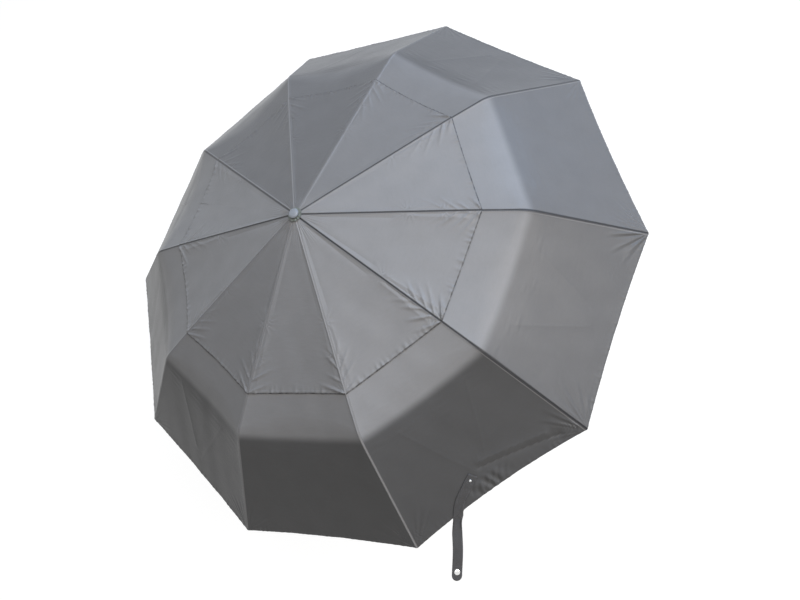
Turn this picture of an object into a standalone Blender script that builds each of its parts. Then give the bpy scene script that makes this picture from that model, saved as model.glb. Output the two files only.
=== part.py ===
"""Ten-rib folding umbrella with a vented double canopy, shown open, shaft upright.

Metres, +Z along the shaft towards the apex, origin at the middle of the hand grip.
"""

import math

import bmesh
import bpy
from mathutils import Matrix, Vector

# Driving sizes

RIB_COUNT = 10
CLEARANCE = 0.0003
OVERRUN = 0.004
MERGE = 0.00001

# Canopy outline along a rib, measured on the outside of the cloth
TIP_RADIUS = 0.525
CANOPY_HEIGHT = 0.211
VENT_RADIUS = 0.296
KNEE_RADIUS = 0.363
TOP_SLOPE = math.radians(12.0)
SHOULDER_SLOPE = math.radians(13.75)
KNEE_ROUNDING = 0.030
LOWER_HOLE_RADIUS = 0.215
CLOTH = 0.0006
PANEL_DIP = 0.009
APEX_HOLE_RADIUS = 0.0050
CLOTH_LIFT = 0.0038

# Shaft tubes, the upper one outermost
UPPER_TUBE_OUTER = 0.00675
UPPER_TUBE_INNER = 0.00620
MIDDLE_TUBE_INNER = 0.00530
LOWER_TUBE_INNER = 0.00440
UPPER_TUBE_LENGTH = 0.205
MIDDLE_TUBE_LENGTH = 0.200
TELESCOPE_TRAVEL = 0.165

# Handle
HANDLE_HALF = 0.042
HANDLE_TOP_RADIUS = 0.0140
HANDLE_BELLY_RADIUS = 0.0168
HANDLE_FOOT_RADIUS = 0.0150
HANDLE_WALL = 0.0022
SLEEVE_WALL = 0.0016
SLEEVE_ABOVE_END = 0.0080
TUBE_ABOVE_SLEEVE_FOOT = 0.0030
COLLAR_RADIUS = 0.0105
COLLAR_HEIGHT = 0.0042
END_CAP_HEIGHT = 0.0040
END_PLUG_DEPTH = 0.0050
HANDLE_FILLET = 0.0020

# Release button, on the +X side of the handle
BUTTON_HEIGHT = 0.022
BUTTON_WIDE = 0.0090
BUTTON_TALL = 0.0130
BUTTON_PROUD = 0.0022
BUTTON_DEPTH = 0.0068
BUTTON_BORE_RADIUS = 0.0026
BUTTON_BORE_DEPTH = 0.0040
BUTTON_SPRING_WIRE = 0.00025
BUTTON_SPRING_TURNS = 5

# Drive spring inside the shaft
DRIVE_SPRING_WIRE = 0.00045
DRIVE_SPRING_TURNS = 16

# Ribs: each is a channel or rod with a tongue or a fork at its hinges
RIB_WIDE = 0.0036
RIB_TALL = 0.0032
RIB_WALL = 0.0005
TONGUE_WIDE = 0.0014
FORK_WALL = 0.0006
EYE_RADIUS = 0.0015
EYE_HOLE_RADIUS = 0.0008
PIN_RADIUS = 0.0005
PIVOT_OFFSET = 0.0019
ROD_RADIUS = 0.0013
TIP_BEAD_RADIUS = 0.0030
FIRST_JOINT_RADIUS = 0.177
STRETCHER_SEAT = 0.080
STRETCHER_TALL = 0.0022
STRETCHER_WIDE = 0.0016

# Crown and runner, two slotted spools with wire rings
CROWN_HINGE_RADIUS = 0.0105
RUNNER_HINGE_RADIUS = 0.0118
RUNNER_OPEN_DROP = 0.063
SPOOL_RADIUS = 0.0128
SPOOL_GAP = 0.0016
SPOOL_FLANGE = 0.0018
SLOT_WIDE = 0.0022
RING_WIRE_RADIUS = 0.0004
CROWN_SKIRT = 0.0080
CROWN_HEAD = 0.0042
RUNNER_SLEEVE = 0.0200
RUNNER_RIM_RADIUS = 0.0120
RUNNER_RIM = 0.0035
RUNNER_WALL = 0.0014

# Apex fittings
STEM_RADIUS = 0.0036
CAP_RADIUS = 0.0088
CAP_HEIGHT = 0.0046
CAP_FLAT_RADIUS = 0.0060
CAP_SOCKET_DEPTH = 0.0026
ROSETTE_RADIUS = 0.0125
ROSETTE_THICKNESS = 0.0008

# Closure strap, sewn on the skirt between the ribs numbered 6 and 7
STRAP_WIDE = 0.017
STRAP_THICKNESS = 0.0014
STRAP_FREE_LENGTH = 0.086
STRAP_ROOT_SHARE = 0.555
STRAP_ROOT_INSET = 0.050
STRAP_BEND_SHARE = 0.695
STRAP_BEND_INSET = 0.025
STRAP_OVERHANG = 0.001
STRAP_SNAP_INSET = 0.014
SNAP_RADIUS = 0.0045
SNAP_HEIGHT = 0.0020
STUD_RADIUS = 0.0025
STUD_HEIGHT = 0.0014
STUD_INSET = 0.010

# Folded state
TOP_FOLDED = math.radians(-87.5)
MIDDLE_FOLDED = math.radians(90.0)
OUTER_FOLDED = math.radians(-90.0)

# Facets
RING_STEPS = 20
GRIP_STEPS = 24
RING_SIDES = 5
COLUMNS_PER_PANEL = 4
EYE_SEGMENTS = 8
PIN_SEGMENTS = 6
BEAD_SEGMENTS = 6
BUTTON_BEVEL = 0.0015

# Places worked out from the driving sizes

VENT_DROP = VENT_RADIUS * math.tan(TOP_SLOPE)
KNEE_DROP = VENT_DROP + (KNEE_RADIUS - VENT_RADIUS) * math.tan(SHOULDER_SLOPE)
SLEEVE_FOOT = SLEEVE_ABOVE_END - HANDLE_HALF
TUBE_FOOT = SLEEVE_FOOT + TUBE_ABOVE_SLEEVE_FOOT
MIDDLE_TUBE_OUTER = UPPER_TUBE_INNER - CLEARANCE
LOWER_TUBE_OUTER = MIDDLE_TUBE_INNER - CLEARANCE
CLOSED_TUBE_FOOT = HANDLE_HALF + COLLAR_HEIGHT + 4 * CLEARANCE
MIDDLE_FOOT = CLOSED_TUBE_FOOT + TELESCOPE_TRAVEL
UPPER_FOOT = MIDDLE_FOOT + TELESCOPE_TRAVEL
UPPER_TOP = UPPER_FOOT + UPPER_TUBE_LENGTH
CROWN_Z = UPPER_TOP - SPOOL_FLANGE
LOWER_TUBE_TOP = CLOSED_TUBE_FOOT + MIDDLE_TUBE_LENGTH
STACK = CLOTH_LIFT + CLEARANCE + 2 * CLOTH
APEX_Z = CROWN_Z + CROWN_HINGE_RADIUS * math.tan(TOP_SLOPE) + STACK / math.cos(TOP_SLOPE)
HALF_PANEL = math.pi / RIB_COUNT
RUNNER_Z = CROWN_Z - RUNNER_OPEN_DROP


def clear_scene():
    for obj in list(bpy.data.objects):
        bpy.data.objects.remove(obj, do_unlink=True)


def new_collection(name):
    collection = bpy.data.collections.new(name)
    bpy.context.scene.collection.children.link(collection)
    return collection


def make_material(name, color, roughness, metallic=0.0):
    material = bpy.data.materials.new(name)
    material.use_nodes = True
    shader = material.node_tree.nodes["Principled BSDF"]
    shader.inputs["Base Color"].default_value = (*color, 1.0)
    shader.inputs["Roughness"].default_value = roughness
    shader.inputs["Metallic"].default_value = metallic
    material.diffuse_color = (*color, 1.0)
    return material


clear_scene()
PARTS = new_collection("double_canopy_umbrella")
CUTTERS = new_collection("cutters")

CLOTH_GREY = make_material("pongee_grey", (0.20, 0.205, 0.225), 0.45)
STRAP_GREY = make_material("strap_grey", (0.16, 0.16, 0.165), 0.6)
STEEL = make_material("zinc_steel", (0.55, 0.56, 0.58), 0.3, 1.0)
DARK_STEEL = make_material("dark_steel", (0.06, 0.06, 0.065), 0.4, 1.0)
BLACK_PLASTIC = make_material("black_plastic", (0.02, 0.02, 0.022), 0.45)
RUBBER_TOUCH = make_material("soft_touch_handle", (0.03, 0.03, 0.032), 0.7)
CAP_GREY = make_material("cap_grey", (0.42, 0.44, 0.50), 0.35)
ROSETTE_GREY = make_material("rosette_grey", (0.17, 0.19, 0.18), 0.6)
SNAP_METAL = make_material("snap_metal", (0.75, 0.75, 0.76), 0.25, 1.0)
ALUMINIUM = make_material("rib_aluminium", (0.45, 0.46, 0.48), 0.35, 1.0)


def smooth(obj):
    obj.data.shade_smooth()
    obj.data.set_sharp_from_angle(angle=math.radians(35))


def add_object(name, mesh, material, collection=None, parent=None):
    obj = bpy.data.objects.new(name, mesh)
    (collection or PARTS).objects.link(obj)
    if material and not mesh.materials:
        mesh.materials.append(material)
    if parent:
        obj.parent = parent
    return obj


def add_cutter(name, mesh):
    obj = add_object(name, mesh, None, CUTTERS)
    obj.hide_render = True
    obj.display_type = "WIRE"
    return obj


def add_empty(name, location, rotation=(0, 0, 0), parent=None):
    empty = bpy.data.objects.new(name, None)
    PARTS.objects.link(empty)
    empty.parent = parent
    empty.location = location
    empty.rotation_euler = rotation
    return empty


def evaluated_mesh(obj, name):
    """The mesh that the object's modifiers or curve settings make, with its seams welded."""
    bpy.context.view_layer.update()
    graph = bpy.context.evaluated_depsgraph_get()
    mesh = bpy.data.meshes.new_from_object(obj.evaluated_get(graph))
    mesh.name = name
    bm = bmesh.new()
    bm.from_mesh(mesh)
    bmesh.ops.remove_doubles(bm, verts=bm.verts, dist=MERGE)
    bmesh.ops.recalc_face_normals(bm, faces=bm.faces)
    bm.to_mesh(mesh)
    bm.free()
    return mesh


def baked(obj, name):
    """Replaces an object by the mesh it evaluates to, in its own frame."""
    mesh = evaluated_mesh(obj, name)
    bpy.data.objects.remove(obj, do_unlink=True)
    return mesh


def turned_mesh(name, profile, steps=RING_STEPS, closed=True):
    """A profile of (radius, height) points turned about Z: down its outer side and up its inner side."""
    bm = bmesh.new()
    points = [bm.verts.new((radius, 0, height)) for radius, height in profile]
    pairs = list(zip(points, points[1:]))
    if closed:
        pairs.append((points[-1], points[0]))
    for start, end in pairs:
        bm.edges.new((start, end))
    mesh = bpy.data.meshes.new(name + "_profile")
    bm.to_mesh(mesh)
    bm.free()
    obj = add_object(name + "_turning", mesh, None)
    screw = obj.modifiers.new("turn", "SCREW")
    screw.steps = screw.render_steps = steps
    screw.use_merge_vertices = True
    screw.merge_threshold = MERGE
    return baked(obj, name)


def turned(name, profile, material, steps=RING_STEPS):
    obj = add_object(name, turned_mesh(name, profile, steps), material)
    smooth(obj)
    return obj


def tube(name, outer, inner, foot, top, material):
    return turned(name, [(outer, top), (outer, foot), (inner, foot), (inner, top)], material)


def box_mesh(name, low, high, bevel=0.0, segments=2):
    bm = bmesh.new()
    bmesh.ops.create_cube(bm, size=1)
    low, high = Vector(low), Vector(high)
    bmesh.ops.scale(bm, vec=high - low, verts=bm.verts)
    bmesh.ops.translate(bm, vec=(low + high) / 2, verts=bm.verts)
    if bevel:
        bmesh.ops.bevel(bm, geom=bm.edges, offset=bevel, segments=segments, affect="EDGES", profile=0.5)
    mesh = bpy.data.meshes.new(name)
    bm.to_mesh(mesh)
    bm.free()
    return mesh


def disc_mesh(name, centre, radius, low_y, high_y, segments):
    """A cylinder along Y between low_y and high_y, its axis through centre (x, z)."""
    bm = bmesh.new()
    bmesh.ops.create_cone(bm, cap_ends=True, segments=segments, radius1=radius, radius2=radius,
                          depth=high_y - low_y)
    bmesh.ops.rotate(bm, matrix=Matrix.Rotation(math.pi / 2, 3, "X"), verts=bm.verts)
    middle = (low_y + high_y) / 2
    bmesh.ops.translate(bm, vec=(centre[0], middle, centre[1]), verts=bm.verts)
    mesh = bpy.data.meshes.new(name)
    bm.to_mesh(mesh)
    bm.free()
    return mesh


def combined(name, base, unions=(), cuts=()):
    """One mesh: the base joined with the union meshes, then cut by the others."""
    obj = add_object(name + "_base", base, None)
    helpers = []
    for operation, meshes in (("UNION", unions), ("DIFFERENCE", cuts)):
        for mesh in meshes:
            helper = add_cutter(mesh.name + "_tool", mesh)
            helpers.append(helper)
            boolean = obj.modifiers.new("shape", "BOOLEAN")
            boolean.operation = operation
            boolean.object = helper
    mesh = baked(obj, name)
    for helper in helpers:
        bpy.data.objects.remove(helper, do_unlink=True)
    return mesh


def coil(name, material, radius, wire, turns, start, end, points_per_turn=8):
    """One unbroken round-wire coil from start to end, printing its least gap between turns."""
    start, end = Vector(start), Vector(end)
    along = (end - start).normalized()
    side = along.orthogonal().normalized()
    other = along.cross(side)
    curve = bpy.data.curves.new(name, "CURVE")
    curve.dimensions = "3D"
    curve.bevel_depth = wire
    curve.bevel_resolution = 0
    curve.use_fill_caps = True
    count = turns * points_per_turn + 1
    spline = curve.splines.new("POLY")
    spline.points.add(count - 1)
    for index in range(count):
        share = index / (count - 1)
        angle = math.tau * turns * share
        place = start.lerp(end, share) + radius * (math.cos(angle) * side + math.sin(angle) * other)
        spline.points[index].co = (*place, 1.0)
    obj = bpy.data.objects.new(name, curve)
    PARTS.objects.link(obj)
    mesh = baked(obj, name)
    print(name, "least gap", (end - start).length / turns - 2 * wire)
    return add_object(name, mesh, material)


# Shaft

def make_shaft():
    tube("upper_tube", UPPER_TUBE_OUTER, UPPER_TUBE_INNER, UPPER_FOOT, UPPER_TOP, STEEL)
    tube("middle_tube", MIDDLE_TUBE_OUTER, MIDDLE_TUBE_INNER,
         MIDDLE_FOOT, MIDDLE_FOOT + MIDDLE_TUBE_LENGTH, STEEL)
    tube("lower_tube", LOWER_TUBE_OUTER, LOWER_TUBE_INNER, TUBE_FOOT, LOWER_TUBE_TOP, STEEL)
    spring_radius = LOWER_TUBE_INNER - CLEARANCE - DRIVE_SPRING_WIRE
    coil("drive_spring", DARK_STEEL, spring_radius, DRIVE_SPRING_WIRE, DRIVE_SPRING_TURNS,
         (0, 0, TUBE_FOOT + DRIVE_SPRING_WIRE + 2 * CLEARANCE),
         (0, 0, UPPER_TOP - DRIVE_SPRING_WIRE - CLEARANCE), points_per_turn=6)


# Handle

def handle_outline():
    """Outer side of the grip as (radius, height), top to bottom."""
    belly_share = 0.55
    shoulder_share = 0.8
    return [
        (HANDLE_TOP_RADIUS - HANDLE_FILLET, HANDLE_HALF),
        (HANDLE_TOP_RADIUS, HANDLE_HALF - HANDLE_FILLET),
        ((HANDLE_TOP_RADIUS + HANDLE_BELLY_RADIUS) / 2 + HANDLE_FILLET / 4, HANDLE_HALF * belly_share),
        (HANDLE_BELLY_RADIUS, 0),
        ((HANDLE_FOOT_RADIUS + HANDLE_BELLY_RADIUS) / 2, -HANDLE_HALF * shoulder_share),
        (HANDLE_FOOT_RADIUS, -HANDLE_HALF),
    ]


def handle_radius_at(height):
    outline = handle_outline()
    for (upper_r, upper_z), (lower_r, lower_z) in zip(outline, outline[1:]):
        if lower_z <= height <= upper_z:
            share = (height - lower_z) / (upper_z - lower_z)
            return lower_r + share * (upper_r - lower_r)
    return HANDLE_FOOT_RADIUS


def make_handle():
    bore = LOWER_TUBE_OUTER + CLEARANCE
    sleeve = bore + SLEEVE_WALL
    cavity = HANDLE_TOP_RADIUS - HANDLE_WALL
    cavity_foot = HANDLE_FOOT_RADIUS - HANDLE_WALL
    ceiling = HANDLE_HALF - HANDLE_WALL
    profile = handle_outline() + [
        (cavity_foot, -HANDLE_HALF),
        (cavity, ceiling),
        (sleeve, ceiling),
        (sleeve, SLEEVE_FOOT),
        (bore, SLEEVE_FOOT),
        (bore, HANDLE_HALF),
    ]
    shell = turned_mesh("handle_shell", profile, GRIP_STEPS)
    window_wide = BUTTON_WIDE / 2 + CLEARANCE
    window_tall = BUTTON_TALL / 2 + CLEARANCE
    window = box_mesh("button_window",
                      (sleeve + CLEARANCE, -window_wide, BUTTON_HEIGHT - window_tall),
                      (HANDLE_BELLY_RADIUS + OVERRUN, window_wide, BUTTON_HEIGHT + window_tall))
    handle = add_object("handle", combined("handle", shell, cuts=[window]), RUBBER_TOUCH)
    smooth(handle)

    collar_foot = HANDLE_HALF + CLEARANCE
    collar_top = HANDLE_HALF + COLLAR_HEIGHT
    turned("handle_collar", [
        (COLLAR_RADIUS - COLLAR_HEIGHT / 4, collar_top),
        (COLLAR_RADIUS, collar_top - COLLAR_HEIGHT / 4),
        (COLLAR_RADIUS, collar_foot),
        (bore, collar_foot),
        (bore, collar_top),
    ], STEEL)

    plug = cavity_foot - CLEARANCE
    plug_top = -HANDLE_HALF + END_PLUG_DEPTH
    plug_narrow = END_PLUG_DEPTH * (cavity_foot - cavity) / (ceiling + HANDLE_HALF)
    cap_foot = -HANDLE_HALF - END_CAP_HEIGHT
    seat = -HANDLE_HALF - CLEARANCE
    post = LOWER_TUBE_INNER - CLEARANCE
    post_top = TUBE_FOOT
    turned("handle_end_cap", [
        (0, post_top),
        (post, post_top),
        (post, plug_top),
        (plug - plug_narrow, plug_top),
        (plug, seat),
        (HANDLE_FOOT_RADIUS, seat),
        (HANDLE_FOOT_RADIUS - END_CAP_HEIGHT / 4, cap_foot + END_CAP_HEIGHT / 4),
        (HANDLE_FOOT_RADIUS - END_CAP_HEIGHT / 2, cap_foot),
        (0, cap_foot),
    ], BLACK_PLASTIC)


def make_button():
    face = handle_radius_at(BUTTON_HEIGHT) + BUTTON_PROUD
    back = face - BUTTON_DEPTH
    pivot = add_empty("release_button_slide", (back, 0, BUTTON_HEIGHT))
    body = box_mesh("button_body", (0, -BUTTON_WIDE / 2, -BUTTON_TALL / 2),
                    (BUTTON_DEPTH, BUTTON_WIDE / 2, BUTTON_TALL / 2), BUTTON_BEVEL)
    bm = bmesh.new()
    bmesh.ops.create_cone(bm, cap_ends=True, segments=16, radius1=BUTTON_BORE_RADIUS,
                          radius2=BUTTON_BORE_RADIUS, depth=BUTTON_BORE_DEPTH + OVERRUN)
    bmesh.ops.rotate(bm, matrix=Matrix.Rotation(math.pi / 2, 3, "Y"), verts=bm.verts)
    bmesh.ops.translate(bm, vec=((BUTTON_BORE_DEPTH - OVERRUN) / 2, 0, 0), verts=bm.verts)
    bore = bpy.data.meshes.new("button_bore")
    bm.to_mesh(bore)
    bm.free()
    button = add_object("release_button", combined("release_button", body, cuts=[bore]),
                        BLACK_PLASTIC, parent=pivot)
    smooth(button)

    sleeve = LOWER_TUBE_OUTER + CLEARANCE + SLEEVE_WALL
    coil("button_spring", STEEL, BUTTON_BORE_RADIUS - CLEARANCE - BUTTON_SPRING_WIRE,
         BUTTON_SPRING_WIRE, BUTTON_SPRING_TURNS,
         (sleeve + CLEARANCE + BUTTON_SPRING_WIRE, 0, BUTTON_HEIGHT),
         (back + BUTTON_BORE_DEPTH - CLEARANCE - BUTTON_SPRING_WIRE, 0, BUTTON_HEIGHT))


# Crown, runner and apex fittings

def slots(name, inner, outer, low, high):
    """Radial slot cutters, one for each rib, in one mesh."""
    bm = bmesh.new()
    for index in range(RIB_COUNT):
        made = bmesh.ops.create_cube(bm, size=1)["verts"]
        bmesh.ops.scale(bm, vec=(outer - inner, SLOT_WIDE, high - low), verts=made)
        bmesh.ops.translate(bm, vec=((inner + outer) / 2, 0, (low + high) / 2), verts=made)
        turn = Matrix.Rotation(math.tau * index / RIB_COUNT, 3, "Z")
        bmesh.ops.rotate(bm, matrix=turn, verts=made)
    mesh = bpy.data.meshes.new(name)
    bm.to_mesh(mesh)
    bm.free()
    return mesh


def ring(name, radius, height, material):
    bpy.ops.mesh.primitive_torus_add(major_radius=radius, minor_radius=RING_WIRE_RADIUS,
                                     major_segments=RING_STEPS, minor_segments=RING_SIDES,
                                     location=(0, 0, height))
    obj = bpy.context.object
    obj.name = name
    obj.data.name = name
    obj.data.materials.append(material)
    for collection in obj.users_collection:
        collection.objects.unlink(obj)
    PARTS.objects.link(obj)
    smooth(obj)
    return obj


def make_crown():
    bore = UPPER_TUBE_OUTER + CLEARANCE
    core = CROWN_HINGE_RADIUS - EYE_RADIUS - CLEARANCE
    half_gap = SPOOL_GAP / 2
    flange = half_gap + SPOOL_FLANGE
    shoulder = UPPER_TOP + CLEARANCE
    stem_top = APEX_Z + ROSETTE_THICKNESS + CAP_SOCKET_DEPTH
    profile = [
        (0, stem_top),
        (STEM_RADIUS, stem_top),
        (STEM_RADIUS, CROWN_Z + CROWN_HEAD),
        (core, CROWN_Z + CROWN_HEAD),
        (core, CROWN_Z + flange),
        (SPOOL_RADIUS, CROWN_Z + flange),
        (SPOOL_RADIUS, CROWN_Z + half_gap),
        (core, CROWN_Z + half_gap),
        (core, CROWN_Z - half_gap),
        (SPOOL_RADIUS, CROWN_Z - half_gap),
        (SPOOL_RADIUS, CROWN_Z - flange),
        (core, CROWN_Z - flange),
        (core, CROWN_Z - CROWN_SKIRT),
        (bore, CROWN_Z - CROWN_SKIRT),
        (bore, shoulder),
        (0, shoulder),
    ]
    spool = turned_mesh("crown_spool", profile)
    cut = slots("crown_slots", core, SPOOL_RADIUS + OVERRUN,
                CROWN_Z - flange - CLEARANCE, CROWN_Z + flange + CLEARANCE)
    crown = add_object("crown", combined("crown", spool, cuts=[cut]), BLACK_PLASTIC)
    smooth(crown)
    ring("crown_wire", CROWN_HINGE_RADIUS, CROWN_Z, STEEL)

    rosette_foot = APEX_Z + CLEARANCE
    rosette_top = rosette_foot + ROSETTE_THICKNESS
    lean = (ROSETTE_RADIUS - STEM_RADIUS) * math.tan(TOP_SLOPE)
    hole = STEM_RADIUS + CLEARANCE
    turned("rosette", [
        (hole, rosette_top),
        (ROSETTE_RADIUS, rosette_top - lean),
        (ROSETTE_RADIUS, rosette_foot - lean),
        (hole, rosette_foot),
    ], ROSETTE_GREY)

    cap_foot = rosette_top + CLEARANCE
    cap_top = cap_foot + CAP_HEIGHT
    socket_top = stem_top + CLEARANCE
    turned("top_cap", [
        (0, cap_top),
        (CAP_FLAT_RADIUS, cap_top),
        ((CAP_FLAT_RADIUS + 2 * CAP_RADIUS) / 3, cap_top - CAP_HEIGHT / 10),
        (CAP_RADIUS, cap_top - CAP_HEIGHT / 3),
        (CAP_RADIUS, cap_foot),
        (hole, cap_foot),
        (hole, socket_top),
        (0, socket_top),
    ], CAP_GREY)


def make_runner():
    slide = add_empty("runner_slide", (0, 0, RUNNER_Z))
    bore = UPPER_TUBE_OUTER + CLEARANCE
    core = RUNNER_HINGE_RADIUS - EYE_RADIUS - CLEARANCE
    sleeve = bore + RUNNER_WALL
    half_gap = SPOOL_GAP / 2
    flange = half_gap + SPOOL_FLANGE
    rim = RUNNER_HINGE_RADIUS + SPOOL_RADIUS - CROWN_HINGE_RADIUS
    foot = -RUNNER_SLEEVE
    profile = [
        (core, flange + SPOOL_FLANGE),
        (core, flange),
        (rim, flange),
        (rim, half_gap),
        (core, half_gap),
        (core, -half_gap),
        (rim, -half_gap),
        (rim, -flange),
        (sleeve, -flange - SPOOL_FLANGE),
        (sleeve, foot + RUNNER_RIM),
        (RUNNER_RIM_RADIUS, foot + RUNNER_RIM / 2),
        (RUNNER_RIM_RADIUS, foot),
        (bore, foot),
        (bore, flange + SPOOL_FLANGE),
    ]
    spool = turned_mesh("runner_spool", profile)
    cut = slots("runner_slots", core, rim + OVERRUN, -flange - SPOOL_FLANGE / 2, flange + CLEARANCE)
    runner = add_object("runner", combined("runner", spool, cuts=[cut]), BLACK_PLASTIC, parent=slide)
    smooth(runner)
    wire = ring("runner_wire", RUNNER_HINGE_RADIUS, 0, STEEL)
    wire.parent = slide


# Ribs, drawn along +X from their inner hinge, with their canopy side towards +Z

def channel_mesh(name, start, end):
    """A channel open downwards: an outline across the rib, drawn out along X."""
    half, inner = RIB_WIDE / 2, RIB_WIDE / 2 - RIB_WALL
    top, foot = RIB_TALL / 2, -RIB_TALL / 2
    ceiling = top - RIB_WALL
    outline = [(-half, foot), (-inner, foot), (-inner, ceiling), (inner, ceiling),
               (inner, foot), (half, foot), (half, top), (-half, top)]
    curve = bpy.data.curves.new(name, "CURVE")
    curve.dimensions = "2D"
    curve.fill_mode = "BOTH"
    curve.extrude = (end - start) / 2
    spline = curve.splines.new("POLY")
    spline.points.add(len(outline) - 1)
    for point, (across, height) in zip(spline.points, outline):
        point.co = (across, height, 0, 1)
    spline.use_cyclic_u = True
    obj = bpy.data.objects.new(name, curve)
    PARTS.objects.link(obj)
    mesh = baked(obj, name)
    # Outline axes (x, y, z) become (across, up, along)
    place = Matrix(((0, 0, 1), (1, 0, 0), (0, 1, 0))).to_4x4()
    mesh.transform(Matrix.Translation(((start + end) / 2, 0, 0)) @ place)
    return mesh


def plate(name, x_low, x_high, z_low, z_high, half_wide):
    return box_mesh(name, (x_low, -half_wide, z_low), (x_high, half_wide, z_high))


SETBACK = EYE_RADIUS + 2 * CLEARANCE
# The stretcher's eye turns inside the top rib's channel, just under its ceiling
STRETCHER_DROP = EYE_RADIUS + CLEARANCE + RIB_WALL - RIB_TALL / 2
FORK_OUTER = RIB_WIDE / 2
FORK_INNER = FORK_OUTER - FORK_WALL
CROWN_SETBACK = 0.0042
TONGUE_BITE = 0.0030


def fork_tools(pivot_x, pivot_z, body_x, low, high):
    """Two cheeks with holes round a pivot, reaching to a body that starts at body_x."""
    unions, cuts = [], []
    for side in (-1, 1):
        y_low, y_high = sorted((side * FORK_INNER, side * FORK_OUTER))
        unions.append(disc_mesh("cheek_eye", (pivot_x, pivot_z), EYE_RADIUS, y_low, y_high, EYE_SEGMENTS))
        x_low, x_high = sorted((pivot_x, body_x))
        unions.append(box_mesh("cheek", (x_low, y_low, low), (x_high, y_high, high)))
    cuts.append(disc_mesh("cheek_hole", (pivot_x, pivot_z), EYE_HOLE_RADIUS,
                          -RIB_WIDE, RIB_WIDE, PIN_SEGMENTS))
    return unions, cuts


def tongue_tools(pivot_x, pivot_z, body_x, low, high):
    """A central tongue with a crossing pin at a pivot, reaching to a body that ends at body_x."""
    x_low, x_high = sorted((pivot_x, body_x))
    half = TONGUE_WIDE / 2
    return [
        disc_mesh("tongue_eye", (pivot_x, pivot_z), EYE_RADIUS, -half, half, EYE_SEGMENTS),
        box_mesh("tongue", (x_low, -half, low), (x_high, half, high)),
        disc_mesh("pin", (pivot_x, pivot_z), PIN_RADIUS, -FORK_OUTER, FORK_OUTER, PIN_SEGMENTS),
    ]


def top_rib_mesh(length):
    """From the crown wire to the first joint, whose pivot lies on the canopy side."""
    body_end = length - SETBACK
    body = channel_mesh("top_rib_body", CROWN_SETBACK, body_end)
    half = TONGUE_WIDE / 2
    eye_tall = EYE_RADIUS - CLEARANCE
    unions = [
        disc_mesh("crown_eye", (0, 0), EYE_RADIUS, -half, half, EYE_SEGMENTS),
        plate("crown_tongue", 0, CROWN_SETBACK + TONGUE_BITE, -eye_tall, eye_tall, half),
        box_mesh("crown_web", (CROWN_SETBACK, -FORK_INNER, eye_tall - RIB_WALL),
                 (CROWN_SETBACK + TONGUE_BITE, FORK_INNER, eye_tall)),
        box_mesh("joint_web", (body_end - TONGUE_BITE, -FORK_INNER, -RIB_TALL / 2 + RIB_WALL),
                 (body_end, FORK_INNER, RIB_TALL / 2 - RIB_WALL / 2)),
        disc_mesh("stretcher_pin", (STRETCHER_SEAT, -STRETCHER_DROP), PIN_RADIUS, -FORK_OUTER, FORK_OUTER,
                  PIN_SEGMENTS),
    ]
    unions += tongue_tools(length, PIVOT_OFFSET, body_end - TONGUE_BITE / 2,
                           -RIB_TALL / 2 + RIB_WALL, PIVOT_OFFSET)
    cuts = [disc_mesh("crown_eye_hole", (0, 0), EYE_HOLE_RADIUS, -RIB_WIDE, RIB_WIDE, PIN_SEGMENTS)]
    return combined("top_rib", body, unions, cuts)


def middle_rib_mesh(length):
    """From the first joint to the knee; its origin is the first joint's pivot."""
    body_start = SETBACK
    body_end = length - SETBACK
    body = channel_mesh("middle_rib_body", body_start, body_end)
    body.transform(Matrix.Translation((0, 0, -PIVOT_OFFSET)))
    low = -PIVOT_OFFSET - RIB_TALL / 2 + RIB_WALL
    unions, cuts = fork_tools(0, 0, body_start + TONGUE_BITE, low, 0)
    pivot_z = -2 * PIVOT_OFFSET
    top = -PIVOT_OFFSET + RIB_TALL / 2 - RIB_WALL / 2
    unions.append(box_mesh("knee_web", (body_end - TONGUE_BITE, -FORK_INNER, low),
                           (body_end, FORK_INNER, top)))
    unions += tongue_tools(length, pivot_z, body_end - TONGUE_BITE / 2, pivot_z, top)
    return combined("middle_rib", body, unions, cuts)


def outer_rib_mesh(length):
    """From the knee to the bead at the rim; its origin is the knee's pivot."""
    body_start = SETBACK
    rod_z = PIVOT_OFFSET
    bm = bmesh.new()
    bmesh.ops.create_cone(bm, cap_ends=True, segments=BEAD_SEGMENTS, radius1=ROD_RADIUS, radius2=ROD_RADIUS,
                          depth=length - body_start)
    bmesh.ops.rotate(bm, matrix=Matrix.Rotation(math.pi / 2, 3, "Y"), verts=bm.verts)
    bmesh.ops.translate(bm, vec=((length + body_start) / 2, 0, rod_z), verts=bm.verts)
    rod = bpy.data.meshes.new("outer_rod")
    bm.to_mesh(rod)
    bm.free()
    top = rod_z + RIB_TALL / 2
    unions, cuts = fork_tools(0, 0, body_start + TONGUE_BITE, 0, top)
    unions.append(box_mesh("rod_socket", (body_start, -FORK_OUTER, 0),
                           (body_start + 2 * TONGUE_BITE, FORK_OUTER, top)))
    bm = bmesh.new()
    bmesh.ops.create_uvsphere(bm, u_segments=BEAD_SEGMENTS, v_segments=BEAD_SEGMENTS,
                              radius=TIP_BEAD_RADIUS)
    bmesh.ops.translate(bm, vec=(length, 0, rod_z), verts=bm.verts)
    bead = bpy.data.meshes.new("tip_bead")
    bm.to_mesh(bead)
    bm.free()
    unions.append(bead)
    return combined("outer_rib", rod, unions, cuts)


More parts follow.
